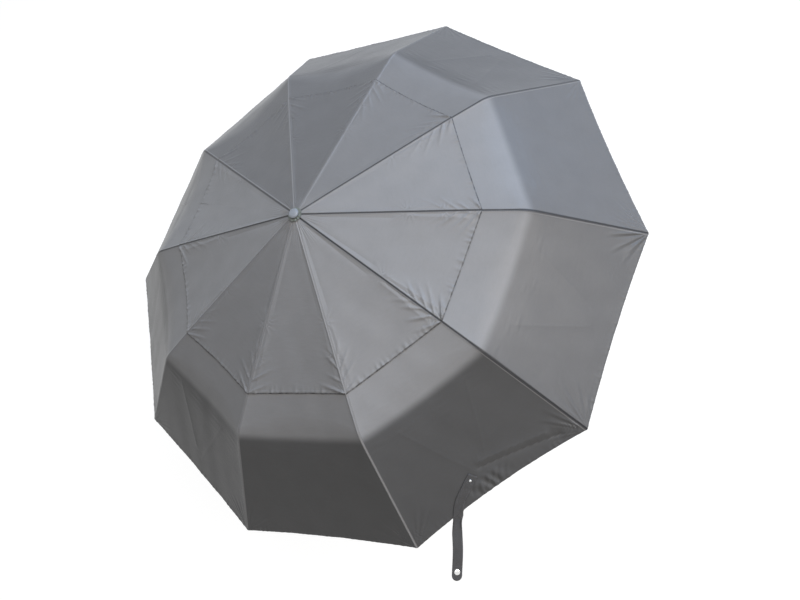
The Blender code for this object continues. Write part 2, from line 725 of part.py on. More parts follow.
def stretcher_mesh(length):
    """From its pivot in the top rib's channel to the runner's wire."""
    half = STRETCHER_WIDE / 2
    tall = STRETCHER_TALL / 2
    body = plate("stretcher_bar", 0, length, -tall, tall, half)
    unions = [disc_mesh("stretcher_eye", (x, 0), EYE_RADIUS, -half, half, EYE_SEGMENTS)
              for x in (0, length)]
    cuts = [disc_mesh("stretcher_hole", (x, 0), EYE_HOLE_RADIUS, -RIB_WIDE, RIB_WIDE, PIN_SEGMENTS)
            for x in (0, length)]
    # The runner's end is a hook, open on its upper side, where the runner's wire leaves it
    cuts.append(box_mesh("hook_mouth", (length - EYE_HOLE_RADIUS, -RIB_WIDE, -OVERRUN),
                         (length + EYE_HOLE_RADIUS, RIB_WIDE, 0)))
    return combined("stretcher", body, unions, cuts)


def canopy_z(radius):
    """Height of the outside of the cloth over a rib, straight between vent, knee and tip."""
    stations = [(0.0, 0.0), (VENT_RADIUS, VENT_DROP), (KNEE_RADIUS, KNEE_DROP),
                (TIP_RADIUS, CANOPY_HEIGHT)]
    for (near_r, near_drop), (far_r, far_drop) in zip(stations, stations[1:]):
        if radius <= far_r or far_r == TIP_RADIUS:
            share = (radius - near_r) / (far_r - near_r)
            return APEX_Z - near_drop - share * (far_drop - near_drop)


# In the plane of one rib: points are (radius, height), angles are from the horizontal

def rotate(point, angle):
    x, z = point
    return (x * math.cos(angle) - z * math.sin(angle), x * math.sin(angle) + z * math.cos(angle))


def add(first, second):
    return (first[0] + second[0], first[1] + second[1])


def angle_between(start, end):
    return math.atan2(end[1] - start[1], end[0] - start[0])


SKIRT_SLOPE = math.atan2(CANOPY_HEIGHT - KNEE_DROP, TIP_RADIUS - KNEE_RADIUS)
CROWN_PIVOT = (CROWN_HINGE_RADIUS, CROWN_Z)
TOP_ANGLE = -TOP_SLOPE
TOP_LENGTH = (FIRST_JOINT_RADIUS - CROWN_HINGE_RADIUS) / math.cos(TOP_SLOPE)
FIRST_PIVOT = add(CROWN_PIVOT, rotate((TOP_LENGTH, PIVOT_OFFSET), TOP_ANGLE))
# The knee's pivot lies under the rounded bend of the cloth, on the underside of the rib
KNEE_DEPTH = STACK + 2 * PIVOT_OFFSET + KNEE_ROUNDING / 8
KNEE_PIVOT = (KNEE_RADIUS - KNEE_DEPTH * math.sin((TOP_SLOPE + SKIRT_SLOPE) / 2),
              canopy_z(KNEE_RADIUS) - KNEE_DEPTH * math.cos((TOP_SLOPE + SKIRT_SLOPE) / 2))
MIDDLE_REACH = math.dist(FIRST_PIVOT, KNEE_PIVOT)
MIDDLE_LENGTH = math.sqrt(MIDDLE_REACH ** 2 - (2 * PIVOT_OFFSET) ** 2)
MIDDLE_ANGLE = angle_between(FIRST_PIVOT, KNEE_PIVOT) + math.atan2(2 * PIVOT_OFFSET, MIDDLE_LENGTH)
# The bead's centre lies under the cloth at the rim, its top just clear of it
BEAD_DEPTH = 2 * CLOTH + TIP_BEAD_RADIUS + 2 * CLEARANCE
BEAD_PLACE = (TIP_RADIUS - TIP_BEAD_RADIUS - BEAD_DEPTH * math.sin(SKIRT_SLOPE),
              canopy_z(TIP_RADIUS - TIP_BEAD_RADIUS) - BEAD_DEPTH * math.cos(SKIRT_SLOPE))
OUTER_REACH = math.dist(KNEE_PIVOT, BEAD_PLACE)
OUTER_LENGTH = math.sqrt(OUTER_REACH ** 2 - PIVOT_OFFSET ** 2)
OUTER_ANGLE = angle_between(KNEE_PIVOT, BEAD_PLACE) - math.atan2(PIVOT_OFFSET, OUTER_LENGTH)
STRETCHER_PIVOT = add(CROWN_PIVOT, rotate((STRETCHER_SEAT, -STRETCHER_DROP), TOP_ANGLE))
RUNNER_PIVOT = (RUNNER_HINGE_RADIUS, RUNNER_Z)
STRETCHER_LENGTH = math.dist(STRETCHER_PIVOT, RUNNER_PIVOT)
STRETCHER_ANGLE = angle_between(STRETCHER_PIVOT, RUNNER_PIVOT)


def folded_travel():
    """How far the runner slides down as the ribs fold, and the angle that its stretchers end at, where
    their hooks lie just outside the runner's wire."""
    seat = add(CROWN_PIVOT, rotate((STRETCHER_SEAT, -STRETCHER_DROP), TOP_FOLDED))
    across = seat[0] - RUNNER_HINGE_RADIUS
    drop = math.sqrt(STRETCHER_LENGTH ** 2 - across ** 2)
    standoff = EYE_RADIUS + RING_WIRE_RADIUS + CLEARANCE
    folded = (RUNNER_HINGE_RADIUS + standoff, seat[1] - drop)
    return RUNNER_Z - folded[1], angle_between(seat, folded)


RUNNER_TRAVEL, STRETCHER_FOLDED = folded_travel()
# How far each hinge turns as the umbrella folds, each against the piece that carries it
TOP_SWING = TOP_FOLDED - TOP_ANGLE
MIDDLE_SWING = (MIDDLE_FOLDED - TOP_FOLDED) - (MIDDLE_ANGLE - TOP_ANGLE)
OUTER_SWING = (OUTER_FOLDED - MIDDLE_FOLDED) - (OUTER_ANGLE - MIDDLE_ANGLE)
STRETCHER_SWING = (STRETCHER_FOLDED - TOP_FOLDED) - (STRETCHER_ANGLE - TOP_ANGLE)


def rib_azimuth(index):
    """Ribs are numbered clockwise seen from above, so that the tenth lies along +X."""
    return -math.tau * index / RIB_COUNT


def make_ribs():
    meshes = {
        "top_rib": top_rib_mesh(TOP_LENGTH),
        "middle_rib": middle_rib_mesh(MIDDLE_LENGTH),
        "outer_rib": outer_rib_mesh(OUTER_LENGTH),
        "stretcher": stretcher_mesh(STRETCHER_LENGTH),
    }
    places = {
        "top_rib": (CROWN_PIVOT, TOP_ANGLE, ALUMINIUM),
        "middle_rib": (FIRST_PIVOT, MIDDLE_ANGLE, ALUMINIUM),
        "outer_rib": (KNEE_PIVOT, OUTER_ANGLE, DARK_STEEL),
        "stretcher": (STRETCHER_PIVOT, STRETCHER_ANGLE, STEEL),
    }
    for index in range(1, RIB_COUNT + 1):
        spoke = add_empty(f"spoke_{index}", (0, 0, 0), (0, 0, rib_azimuth(index)))
        for kind, mesh in meshes.items():
            (radius, height), angle, material = places[kind]
            rib = add_object(f"{kind}_{index}", mesh, material, parent=spoke)
            rib.location = (radius, 0, height)
            rib.rotation_euler = (0, -angle, 0)
            smooth(rib)


# Canopies

def rounded_station(radius):
    """Height of the outside of the cloth over a rib, with the knee rounded off."""
    near, far = KNEE_RADIUS - KNEE_ROUNDING, KNEE_RADIUS + KNEE_ROUNDING
    if not near < radius < far:
        return canopy_z(radius)
    share = (radius - near) / (far - near)
    start, corner, end = canopy_z(near), canopy_z(KNEE_RADIUS), canopy_z(far)
    return (1 - share) ** 2 * start + 2 * share * (1 - share) * corner + share ** 2 * end


def dip_at(radius):
    """How far the middle of a panel lies under the straight line between its ribs."""
    if radius <= KNEE_RADIUS:
        return PANEL_DIP * (radius / KNEE_RADIUS) ** 2
    return PANEL_DIP * (TIP_RADIUS - radius) / (TIP_RADIUS - KNEE_RADIUS)


def canopy_sheet(name, radii, depth):
    """The outside of a canopy, its depth under the outermost cloth, as ten straight-sided panels."""
    profile = [(radius, rounded_station(radius)) for radius in radii]
    mesh = turned_mesh(name, profile, RIB_COUNT * COLUMNS_PER_PANEL, closed=False)
    for vertex in mesh.vertices:
        x, y, z = vertex.co
        radius = math.hypot(x, y)
        # Angle from the middle of the panel, whose edges are the ribs
        local = (math.atan2(y, x) % (2 * HALF_PANEL)) - HALF_PANEL
        straight = math.cos(HALF_PANEL) / math.cos(local)
        middle_share = 1 - (math.tan(local) / math.tan(HALF_PANEL)) ** 2
        drop = depth / math.cos(TOP_SLOPE if radius < KNEE_RADIUS else SKIRT_SLOPE)
        vertex.co = (x * straight, y * straight, z - drop - dip_at(radius) * middle_share)
    return mesh


def spaced(start, end, count):
    return [start + (end - start) * index / count for index in range(count + 1)]


def add_canopy(name, radii, depth):
    sheet = canopy_sheet(name, radii, depth)
    canopy = add_object(name, sheet, CLOTH_GREY)
    thick = canopy.modifiers.new("cloth", "SOLIDIFY")
    thick.thickness = CLOTH
    thick.offset = -1
    thick.use_even_offset = True
    smooth(canopy)
    return canopy


def make_canopies():
    near, far = KNEE_RADIUS - KNEE_ROUNDING, KNEE_RADIUS + KNEE_ROUNDING
    bend = spaced(near, far, 3)
    add_canopy("canopy_upper", spaced(APEX_HOLE_RADIUS, VENT_RADIUS, 4), 0)
    add_canopy("canopy_lower",
               spaced(LOWER_HOLE_RADIUS, near, 2)[:-1] + bend + spaced(far, TIP_RADIUS, 3)[1:],
               CLOTH + CLEARANCE)


# Closure strap

def rib_point(index, radius, height):
    angle = rib_azimuth(index)
    return Vector((radius * math.cos(angle), radius * math.sin(angle), height))


def skirt_place(share, inset):
    """A point on the outside of the skirt between ribs 6 and 7, a share of the way along the rim and
    an inset up from it, with the directions along the rim, up the skirt and out of it."""
    drop = (CLOTH + CLEARANCE) / math.cos(SKIRT_SLOPE)
    tips = [rib_point(i, TIP_RADIUS, canopy_z(TIP_RADIUS) - drop) for i in (6, 7)]
    knees = [rib_point(i, KNEE_RADIUS, canopy_z(KNEE_RADIUS) - drop) for i in (6, 7)]
    along = (tips[1] - tips[0]).normalized()
    rise = (knees[0] + knees[1] - tips[0] - tips[1]).normalized()
    normal = along.cross(rise)
    if normal.z < 0:
        normal.negate()
    return tips[0].lerp(tips[1], share) + rise * inset, along, rise, normal


# The way the strap hangs in the photograph, where the umbrella's shaft isn't upright
PHOTO_DOWN = Vector((0.057, 0.953, -0.298)).normalized()


def webbing(name, start, way, length, normal, round_end=False):
    """A flat strip from start along way, its face square to normal, with a round or a square end."""
    across = normal.cross(way).normalized()
    up = way.cross(across)
    half = STRAP_WIDE / 2
    outline = [(0, -half)]
    if round_end:
        steps = 8
        for step in range(steps + 1):
            turn = math.pi * (step / steps - 1 / 2)
            outline.append((length - half + half * math.cos(turn), half * math.sin(turn)))
    else:
        outline += [(length, -half), (length, half)]
    outline.append((0, half))
    curve = bpy.data.curves.new(name, "CURVE")
    curve.dimensions = "2D"
    curve.fill_mode = "BOTH"
    curve.extrude = STRAP_THICKNESS / 2
    spline = curve.splines.new("POLY")
    spline.points.add(len(outline) - 1)
    for point, (x, y) in zip(spline.points, outline):
        point.co = (x, y, 0, 1)
    spline.use_cyclic_u = True
    obj = bpy.data.objects.new(name, curve)
    PARTS.objects.link(obj)
    mesh = baked(obj, name)
    turn = Matrix((way, across, up)).transposed().to_4x4()
    mesh.transform(Matrix.Translation(start) @ turn)
    return mesh


def disc_on(name, centre, normal, radius, low, high, segments=20):
    """A slightly tapered disc square to normal, from low to high above its centre."""
    taper_share = 0.8
    bm = bmesh.new()
    bmesh.ops.create_cone(bm, cap_ends=True, segments=segments, radius1=radius,
                          radius2=radius * taper_share, depth=high - low)
    bmesh.ops.translate(bm, vec=(0, 0, (low + high) / 2), verts=bm.verts)
    turn = Vector((0, 0, 1)).rotation_difference(normal).to_matrix()
    bmesh.ops.rotate(bm, matrix=turn, verts=bm.verts)
    bmesh.ops.translate(bm, vec=centre, verts=bm.verts)
    mesh = bpy.data.meshes.new(name)
    bm.to_mesh(mesh)
    bm.free()
    return mesh


def make_strap():
    bend, along, rise, normal = skirt_place(STRAP_BEND_SHARE, STRAP_BEND_INSET)
    root = skirt_place(STRAP_ROOT_SHARE, STRAP_ROOT_INSET)[0]
    lift = normal * (2 * CLEARANCE + STRAP_THICKNESS / 2)
    bend += lift
    root += lift
    # Over the skirt the strap runs flat, and past the rim it hangs
    flat_way = (PHOTO_DOWN - PHOTO_DOWN.dot(normal) * normal).normalized()
    slant = abs(flat_way.dot(along) / flat_way.dot(rise))
    flat_length = STRAP_BEND_INSET / abs(flat_way.dot(rise)) + slant * STRAP_WIDE / 2 + STRAP_OVERHANG
    first_way = (bend - root).normalized()
    first_length = (bend - root).length + STRAP_WIDE / 4
    first = webbing("tab_root", root, first_way, first_length, normal)
    second = webbing("tab_flat", bend, flat_way, flat_length, normal)
    stud = disc_on("base_stud", root + first_way * STUD_INSET, normal, STUD_RADIUS,
                   0, STRAP_THICKNESS / 2 + STUD_HEIGHT, 12)
    add_object("strap_tab", combined("strap_tab", first, unions=[second, stud]), STRAP_GREY)

    # The free part turns about a rolled hem at its start
    hinge_at = bend + flat_way * (flat_length + CLEARANCE + STRAP_THICKNESS / 2)
    pivot = add_empty("closure_strap_hinge", hinge_at)
    axis = normal.cross(PHOTO_DOWN).normalized()
    face = PHOTO_DOWN.cross(axis)
    strip = webbing("strap_strip", Vector(), PHOTO_DOWN, STRAP_FREE_LENGTH, face, round_end=True)
    bm = bmesh.new()
    bmesh.ops.create_cone(bm, cap_ends=True, segments=EYE_SEGMENTS, radius1=STRAP_THICKNESS / 2,
                          radius2=STRAP_THICKNESS / 2, depth=STRAP_WIDE)
    turn = Vector((0, 0, 1)).rotation_difference(axis).to_matrix()
    bmesh.ops.rotate(bm, matrix=turn, verts=bm.verts)
    hem = bpy.data.meshes.new("strap_hem")
    bm.to_mesh(hem)
    bm.free()
    add_object("closure_strap", combined("closure_strap", strip, unions=[hem]), STRAP_GREY, parent=pivot)
    rest = STRAP_THICKNESS / 2 + CLEARANCE
    snap = disc_on("snap_cap", PHOTO_DOWN * (STRAP_FREE_LENGTH - STRAP_SNAP_INSET), face,
                   SNAP_RADIUS, rest, rest + SNAP_HEIGHT)
    add_object("snap_cap", snap, SNAP_METAL, parent=pivot)
    print("strap hinge", tuple(hinge_at), "axis", tuple(axis), "face", tuple(face))
    print("strap tab slides", tuple(along))


make_shaft()
make_handle()
make_button()
make_crown()
make_runner()
make_ribs()
make_canopies()
make_strap()

print("crown pivot", CROWN_PIVOT, "first pivot", FIRST_PIVOT, "knee pivot", KNEE_PIVOT)
print("bead", BEAD_PLACE, "runner", RUNNER_PIVOT, "travel", RUNNER_TRAVEL)
print("angles", [math.degrees(a) for a in (TOP_ANGLE, MIDDLE_ANGLE, OUTER_ANGLE, STRETCHER_ANGLE)])
print("swings", [math.degrees(a) for a in (TOP_SWING, MIDDLE_SWING, OUTER_SWING, STRETCHER_SWING)])
print("lengths", TOP_LENGTH, MIDDLE_LENGTH, OUTER_LENGTH, STRETCHER_LENGTH)
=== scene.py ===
import math

import bmesh
import bpy
import numpy as np
from mathutils import Matrix, Vector


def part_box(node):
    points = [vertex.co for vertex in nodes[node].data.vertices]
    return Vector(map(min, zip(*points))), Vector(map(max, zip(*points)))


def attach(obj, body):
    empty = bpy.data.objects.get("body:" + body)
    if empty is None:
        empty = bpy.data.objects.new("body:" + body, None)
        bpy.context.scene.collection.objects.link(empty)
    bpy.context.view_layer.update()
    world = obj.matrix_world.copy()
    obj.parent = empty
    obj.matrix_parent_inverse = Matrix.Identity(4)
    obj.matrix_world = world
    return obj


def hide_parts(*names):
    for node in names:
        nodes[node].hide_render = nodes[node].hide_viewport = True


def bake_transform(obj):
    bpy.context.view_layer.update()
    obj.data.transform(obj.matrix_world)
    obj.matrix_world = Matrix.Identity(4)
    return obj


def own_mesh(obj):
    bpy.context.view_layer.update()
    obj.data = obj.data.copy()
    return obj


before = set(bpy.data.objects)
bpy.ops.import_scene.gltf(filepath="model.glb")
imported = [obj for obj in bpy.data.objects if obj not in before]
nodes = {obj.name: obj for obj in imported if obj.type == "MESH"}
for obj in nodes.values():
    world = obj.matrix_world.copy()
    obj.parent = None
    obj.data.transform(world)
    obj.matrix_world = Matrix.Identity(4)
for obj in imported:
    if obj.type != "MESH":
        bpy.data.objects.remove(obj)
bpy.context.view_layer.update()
ribNumbers = range(1, 11)
print("frame loaded,", len(nodes), "nodes")


# helpers for shaping

def smoothStep(x):
    x = np.clip(x, 0.0, 1.0)
    return x * x * (3 - 2 * x)


# Rises to 1 over the last stretch before an edge
def nearing(station, edge, stretch):
    return smoothStep((station - edge + stretch) / stretch)


def hump(x, centre, width):
    return np.exp(-((x - centre) / width) ** 2)


def ripple(turns):
    return np.sin(math.tau * turns)


def newPiece(name, bm, material, body, smooth=True, outward=True):
    if outward:
        bmesh.ops.recalc_face_normals(bm, faces=bm.faces[:])
    mesh = bpy.data.meshes.new(name)
    bm.to_mesh(mesh)
    bm.free()
    piece = bpy.data.objects.new(name, mesh)
    bpy.context.scene.collection.objects.link(piece)
    mesh.materials.append(material)
    if smooth:
        mesh.shade_smooth()
    if body:
        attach(piece, body)
    return piece


# helpers for materials; a socket's id_data is the node tree that it belongs to

def startMaterial(name, **values):
    material = bpy.data.materials.new(name)
    material.use_nodes = True
    tree = material.node_tree
    shader = tree.nodes["Principled BSDF"]
    for socket, value in values.items():
        shader.inputs[socket.replace("_", " ")].default_value = value
    return material, tree, shader


def addNode(tree, kind, inputs=None, **settings):
    node = tree.nodes.new("ShaderNode" + kind)
    for key, value in settings.items():
        setattr(node, key, value)
    for key, value in (inputs or {}).items():
        if isinstance(value, bpy.types.NodeSocket):
            tree.links.new(value, node.inputs[key])
        else:
            node.inputs[key].default_value = value
    return node


def calc(operation, *values):
    tree = next(value.id_data for value in values if isinstance(value, bpy.types.NodeSocket))
    return addNode(tree, "Math", dict(enumerate(values)), operation=operation).outputs[0]


def times(first, *others):
    for value in others:
        first = calc("MULTIPLY", first, value)
    return first


# Sum of values, each times its weight
def mixed(*weighted):
    total = times(*weighted[0])
    for pair in weighted[1:]:
        total = calc("ADD", total, times(*pair))
    return total


def wave(value, pitch):
    return calc("SINE", times(value, math.tau / pitch))


def spread(value, fromLow, fromHigh, toLow=0, toHigh=1):
    node = addNode(value.id_data, "MapRange", {"Value": value, "From Min": fromLow, "From Max": fromHigh,
                                               "To Min": toLow, "To Max": toHigh}, clamp=True)
    return node.outputs["Result"]


# A line along a centre, full within its inner half width and gone past the outer one
def stripe(value, centre, inner, outer, strength=1):
    return spread(calc("ABSOLUTE", calc("SUBTRACT", value, centre)), inner, outer, strength, 0)


def blendColor(share, first, second):
    return addNode(share.id_data, "Mix", {0: share, 6: first, 7: second}, data_type="RGBA").outputs[2]


def noise(vector, scale, detail=2.0, roughness=0.5):
    return addNode(vector.id_data, "TexNoise", {"Vector": vector, "Scale": scale, "Detail": detail,
                                                "Roughness": roughness}).outputs["Fac"]


def stretched(vector, scale):
    return addNode(vector.id_data, "Mapping", {"Vector": vector, "Scale": scale}).outputs[0]


def objectPlace(tree):
    return addNode(tree, "TexCoord").outputs["Object"]


def feed(shader, color, roughness=None):
    shader.id_data.links.new(color, shader.inputs["Base Color"])
    if roughness is not None:
        shader.id_data.links.new(roughness, shader.inputs["Roughness"])


def bumped(shader, height, distance, strength):
    bump = addNode(shader.id_data, "Bump", {"Height": height, "Distance": distance, "Strength": strength})
    shader.id_data.links.new(bump.outputs["Normal"], shader.inputs["Normal"])


# canopy outline, the same one that the solids have

canopy = {
    "apexHeight": 0.58825,
    "apexHole": 0.005,
    "ventRadius": 0.296,
    "kneeRadius": 0.363,
    "tipRadius": 0.525,
    "rimDrop": 0.211,
    "topSlope": 12.0,
    "shoulderSlope": 13.75,
    "lowerHole": 0.215,
    "lowerDepth": 0.0009,
    "cloth": 0.0005,
    "panelDip": 0.009,
    "clothSpare": 1.01,
    "kneeRound": 0.013,          # half the width of the bend at a rib
    "kneeRoundMiddle": 0.024,    # and what it gains by mid panel
    "rimScoop": 0.004,           # how far the rim pulls in between two tips
    "rimScoopStrap": 0.008,
    "rimScoopReach": 0.095,
    "ventScoop": 0.002,
    "ventScoopReach": 0.056,
    "ventLift": 0.0005,
    "ventLiftReach": 0.046,
    "crownSlope": 0.22,          # rise per step out, which sets how deep the lower canopy lies
    "firstJoint": 0.1774,        # where the top ribs end and the middle ones start
    "kneeJoint": 0.35746,
    "ventSlant": 1.02,           # length of the cloth per step out, above the vent's hem and the rim
    "skirtSlant": 1.29,
    "rowStep": 0.0023,
    "ventColumns": 34,           # columns of half a panel
    "kneeColumns": 30,
    "skirtColumns": 62,
    "crowding": 1.45,            # how much they crowd towards the rib
    "foldedShare": 0.045,
}
halfPanel = math.pi / 10
strapPanel = 6
ventDrop = canopy["ventRadius"] * math.tan(math.radians(canopy["topSlope"]))
kneeDrop = ventDrop + ((canopy["kneeRadius"] - canopy["ventRadius"])
                       * math.tan(math.radians(canopy["shoulderSlope"])))
skirtSlope = (canopy["rimDrop"] - kneeDrop) / (canopy["tipRadius"] - canopy["kneeRadius"])


# Drop below the apex of the outermost cloth over a rib
def ribLine(station):
    return np.interp(station, [0.0, canopy["ventRadius"], canopy["kneeRadius"], canopy["tipRadius"]],
                     [0.0, ventDrop, kneeDrop, canopy["rimDrop"]])


def roundedLine(station, half):
    knee = canopy["kneeRadius"]
    start, end = ribLine(knee - half), ribLine(knee + half)
    share = np.clip((station - knee + half) / (2 * half), 0, 1)
    bend = (1 - share) ** 2 * start + 2 * share * (1 - share) * kneeDrop + share ** 2 * end
    return np.where(np.abs(station - knee) < half, bend, ribLine(station))


def panelDip(station):
    knee, tip = canopy["kneeRadius"], canopy["tipRadius"]
    inner = (station / knee) ** 2
    outer = (tip - station) / (tip - knee)
    near = smoothStep((station - knee + 0.045) / 0.09)
    return canopy["panelDip"] * ((1 - near) * inner + near * outer)


# The cloth without its creases. c runs over a panel from -1 at one rib to 1 at the other, panel p lies
# between ribs p and p + 1, and the stations run out along the ribs.
def smoothCloth(station, c, panel, upper):
    middle = 1 - c * c
    tip, vent = canopy["tipRadius"], canopy["ventRadius"]
    if upper:
        scoop = canopy["ventScoop"] * nearing(station, vent, canopy["ventScoopReach"])
        lift = canopy["ventLift"] * nearing(station, vent, canopy["ventLiftReach"])
        depth = 0.0
    else:
        deep = canopy["rimScoopStrap"] if panel == strapPanel else canopy["rimScoop"]
        scoop = deep * nearing(station, tip, canopy["rimScoopReach"])
        lift = 0.0
        depth = canopy["lowerDepth"]
    s = station - scoop * middle
    drop = roundedLine(s, canopy["kneeRound"] + canopy["kneeRoundMiddle"] * middle)
    steep = smoothStep((s - canopy["kneeRadius"] + 0.02) / 0.04)
    slope = canopy["crownSlope"] + (skirtSlope - canopy["crownSlope"]) * steep
    slant = 1 / np.cos(np.arctan(slope))
    z = canopy["apexHeight"] - drop - (panelDip(s) - lift) * middle - depth * slant
    facing = -(2 * panel + 1) * halfPanel
    out, along = s * math.cos(halfPanel), c * s * math.sin(halfPanel)
    x = out * math.cos(facing) - along * math.sin(facing)
    y = out * math.sin(facing) + along * math.cos(facing)
    return np.stack([x, y, z], axis=-1)


def unit(vectors):
    return vectors / np.linalg.norm(vectors, axis=-1, keepdims=True)


def facingOf(shape, station, c):
    ds, dc = 0.0003, 0.0003 / (station * math.sin(halfPanel))
    alongRib = shape(station + ds, c) - shape(station - ds, c)
    alongHem = shape(station, c + dc) - shape(station, c - dc)
    return unit(np.cross(alongRib, alongHem))


def chance(*keys):
    return (math.sin(sum((17.13 * n + 12.9898) * (key + 0.5) for n, key in enumerate(keys)))
            * 43758.5453) % 1.0


# Ridges that fan out from a point where the cloth is held. u runs off the rib, v up along it.
def fan(u, v, reach, count, phase, low, high, both=False):
    away = np.hypot(u, v)
    turn = np.arctan2(v, u) / (math.pi / 2)
    if both:
        turn = (turn + 1) / 2
    window = smoothStep((turn - low) / 0.12) * smoothStep((high - turn) / 0.12)
    ridges = (0.5 + 0.5 * np.cos(math.tau * count * turn + phase)) ** 1.5
    return smoothStep(away / 0.010) * hump(away, 0, reach) * window * ridges


# A crease pressed in from one point to another
def pressed(x, v, start, end, width):
    (x0, v0), (x1, v1) = start, end
    length = math.hypot(x1 - x0, v1 - v0)
    along = ((x - x0) * (x1 - x0) + (v - v0) * (v1 - v0)) / length
    off = ((x - x0) * (v1 - v0) - (v - v0) * (x1 - x0)) / length
    ends = smoothStep(along / 0.012) * smoothStep((length - along) / 0.012)
    return ends * np.exp(-np.sqrt(off ** 2 + 0.0004 ** 2) / width)


# A soft fold that leaves the rib at a height up it, and leans towards the apex
def foldFrom(u, v, start, lean, length, width, bow=0.0):
    away = u * math.sin(lean) + (v - start) * math.cos(lean)
    off = u * math.cos(lean) - (v - start) * math.sin(lean) + bow * (away / length) ** 2
    ends = smoothStep((away + 0.002) / 0.008) * smoothStep((length - away) / (0.7 * length))
    half = width * (0.55 + 0.6 * np.clip(away / length, 0, 1))
    return ends * hump(off, 0, half)


# A sharp fold that runs off a tip, at an angle to its rib
def rayFrom(u, v, turn, length, width):
    away = u * math.sin(turn) + v * math.cos(turn)
    off = u * math.cos(turn) - v * math.sin(turn)
    ends = smoothStep((away - 0.003) / 0.010) * smoothStep((length - away) / (0.6 * length))
    half = width * (0.35 + 0.9 * np.clip(away / length, 0, 1))
    return ends * (hump(off, 0, half) - 0.45 * hump(off, 1.7 * half, half))


creaseSizes = {
    "seamClear": 0.005,          # nothing but its own welt lifts the seam this near it
    "swellHeight": 0.00035, "swellShare": 0.45,
    "ridgeHeight": 0.0007, "ridgeWidth": 0.005,
    "seamGroove": 0.00055, "grooveHalf": 0.0009,
    "seamWidth": 0.0036, "seamHeight": 0.00025, "weltStart": 0.0004, "weltEdge": 0.0006,
    "hemWidth": 0.0055, "hemHeight": 0.00012, "hemEdge": 0.0012, "hemRoll": 0.0004,
    "puckerPitch": 0.0107, "puckerHeight": 0.00110, "puckerDepth": 0.009, "rimPucker": 0.5,
    "cornerHeight": 0.0005, "cornerReach": 0.020,
    "foldHeight": 0.0021, "foldWidth": 0.0036, "foldLength": 0.042, "folds": 4,
    "tacks": (0.183, 0.238), "tackHeight": 0.00055, "tackReach": 0.018,
    "longFold": 0.0012, "hollow": 0.0012,
    "apexHeight": 0.00030, "apexReach": 0.040,
    "tipHeight": 0.0013, "tipReach": 0.066, "tipWidth": 0.0034, "tipFolds": 5,
    "pressHeight": 0.00045, "pressWidth": 0.0042, "kneeWrinkle": 0.00011,
    "strapPull": 0.0032, "strapRidge": 0.0020, "strapPullWidth": 0.007, "crumple": (0.0013, 0.0007),
}
# How strongly the cloth is pulled at each rib's vent corner and tip, as the photograph shows them
cornerPull = {1: 0.5, 2: 0.5, 3: 0.6, 4: 1.0, 5: 0.95, 6: 1.2, 7: 0.85, 8: 0.85, 9: 0.6, 10: 0.6}
tipPull = {1: 0.4, 2: 0.4, 3: 0.5, 4: 0.7, 5: 1.3, 6: 0.7, 7: 0.5, 8: 0.45, 9: 0.45, 10: 0.45}


# Below, x runs along a panel's hem from its middle, u off the nearest rib and v up from the hem

# Long swells, the same in both canopies where they overlap
def swells(station, c, x, u, panel):
    a, b, d = (chance(panel, nth) for nth in (1, 2, 3))
    off = smoothStep(u / 0.03) * smoothStep((station - 0.02) / 0.08)
    return creaseSizes["swellHeight"] * off * (1 - c * c) * (
        ripple(x / 0.105 + station / 0.31 + a) * ripple(station / 0.15 + b)
        + creaseSizes["swellShare"] * ripple(x / 0.052 - station / 0.12 + d))


# The cloth tents over each rib, with a felled seam on it, its welt on one side
def ribSeam(station, u, side):
    sizes = creaseSizes
    height = sizes["ridgeHeight"] * np.exp(-u / sizes["ridgeWidth"]) * smoothStep((station - 0.02) / 0.05)
    height -= sizes["seamGroove"] * hump(u, 0, sizes["grooveHalf"])
    if side > 0:
        welt = (smoothStep((u - sizes["weltStart"]) / sizes["weltEdge"])
                * smoothStep((sizes["seamWidth"] - u) / sizes["weltEdge"]))
        height += sizes["seamHeight"] * welt * smoothStep((station - 0.012) / 0.01)
    return height


# Folded under and gathered by its thread
def hem(x, u, v, panel, upper):
    sizes = creaseSizes
    height = sizes["hemHeight"] * smoothStep((sizes["hemWidth"] - v) / 0.0008) * smoothStep(u / 0.004)
    height -= sizes["hemRoll"] * smoothStep((sizes["hemEdge"] - v) / 0.0012)
    wander = 1.6 * ripple(x / 0.071 + chance(panel, 4)) + math.tau * chance(panel, 5)
    pucker = (0.5 + 0.5 * np.sin(math.tau * x / sizes["puckerPitch"] + wander)) ** 1.6
    strong = 0.75 + 0.5 * ripple(x / 0.043 + chance(panel, 6))
    gather = sizes["puckerHeight"] * (1 if upper else sizes["rimPucker"])
    return height + gather * pucker * strong * hump(v, 0, sizes["puckerDepth"]) * smoothStep(u / 0.008)


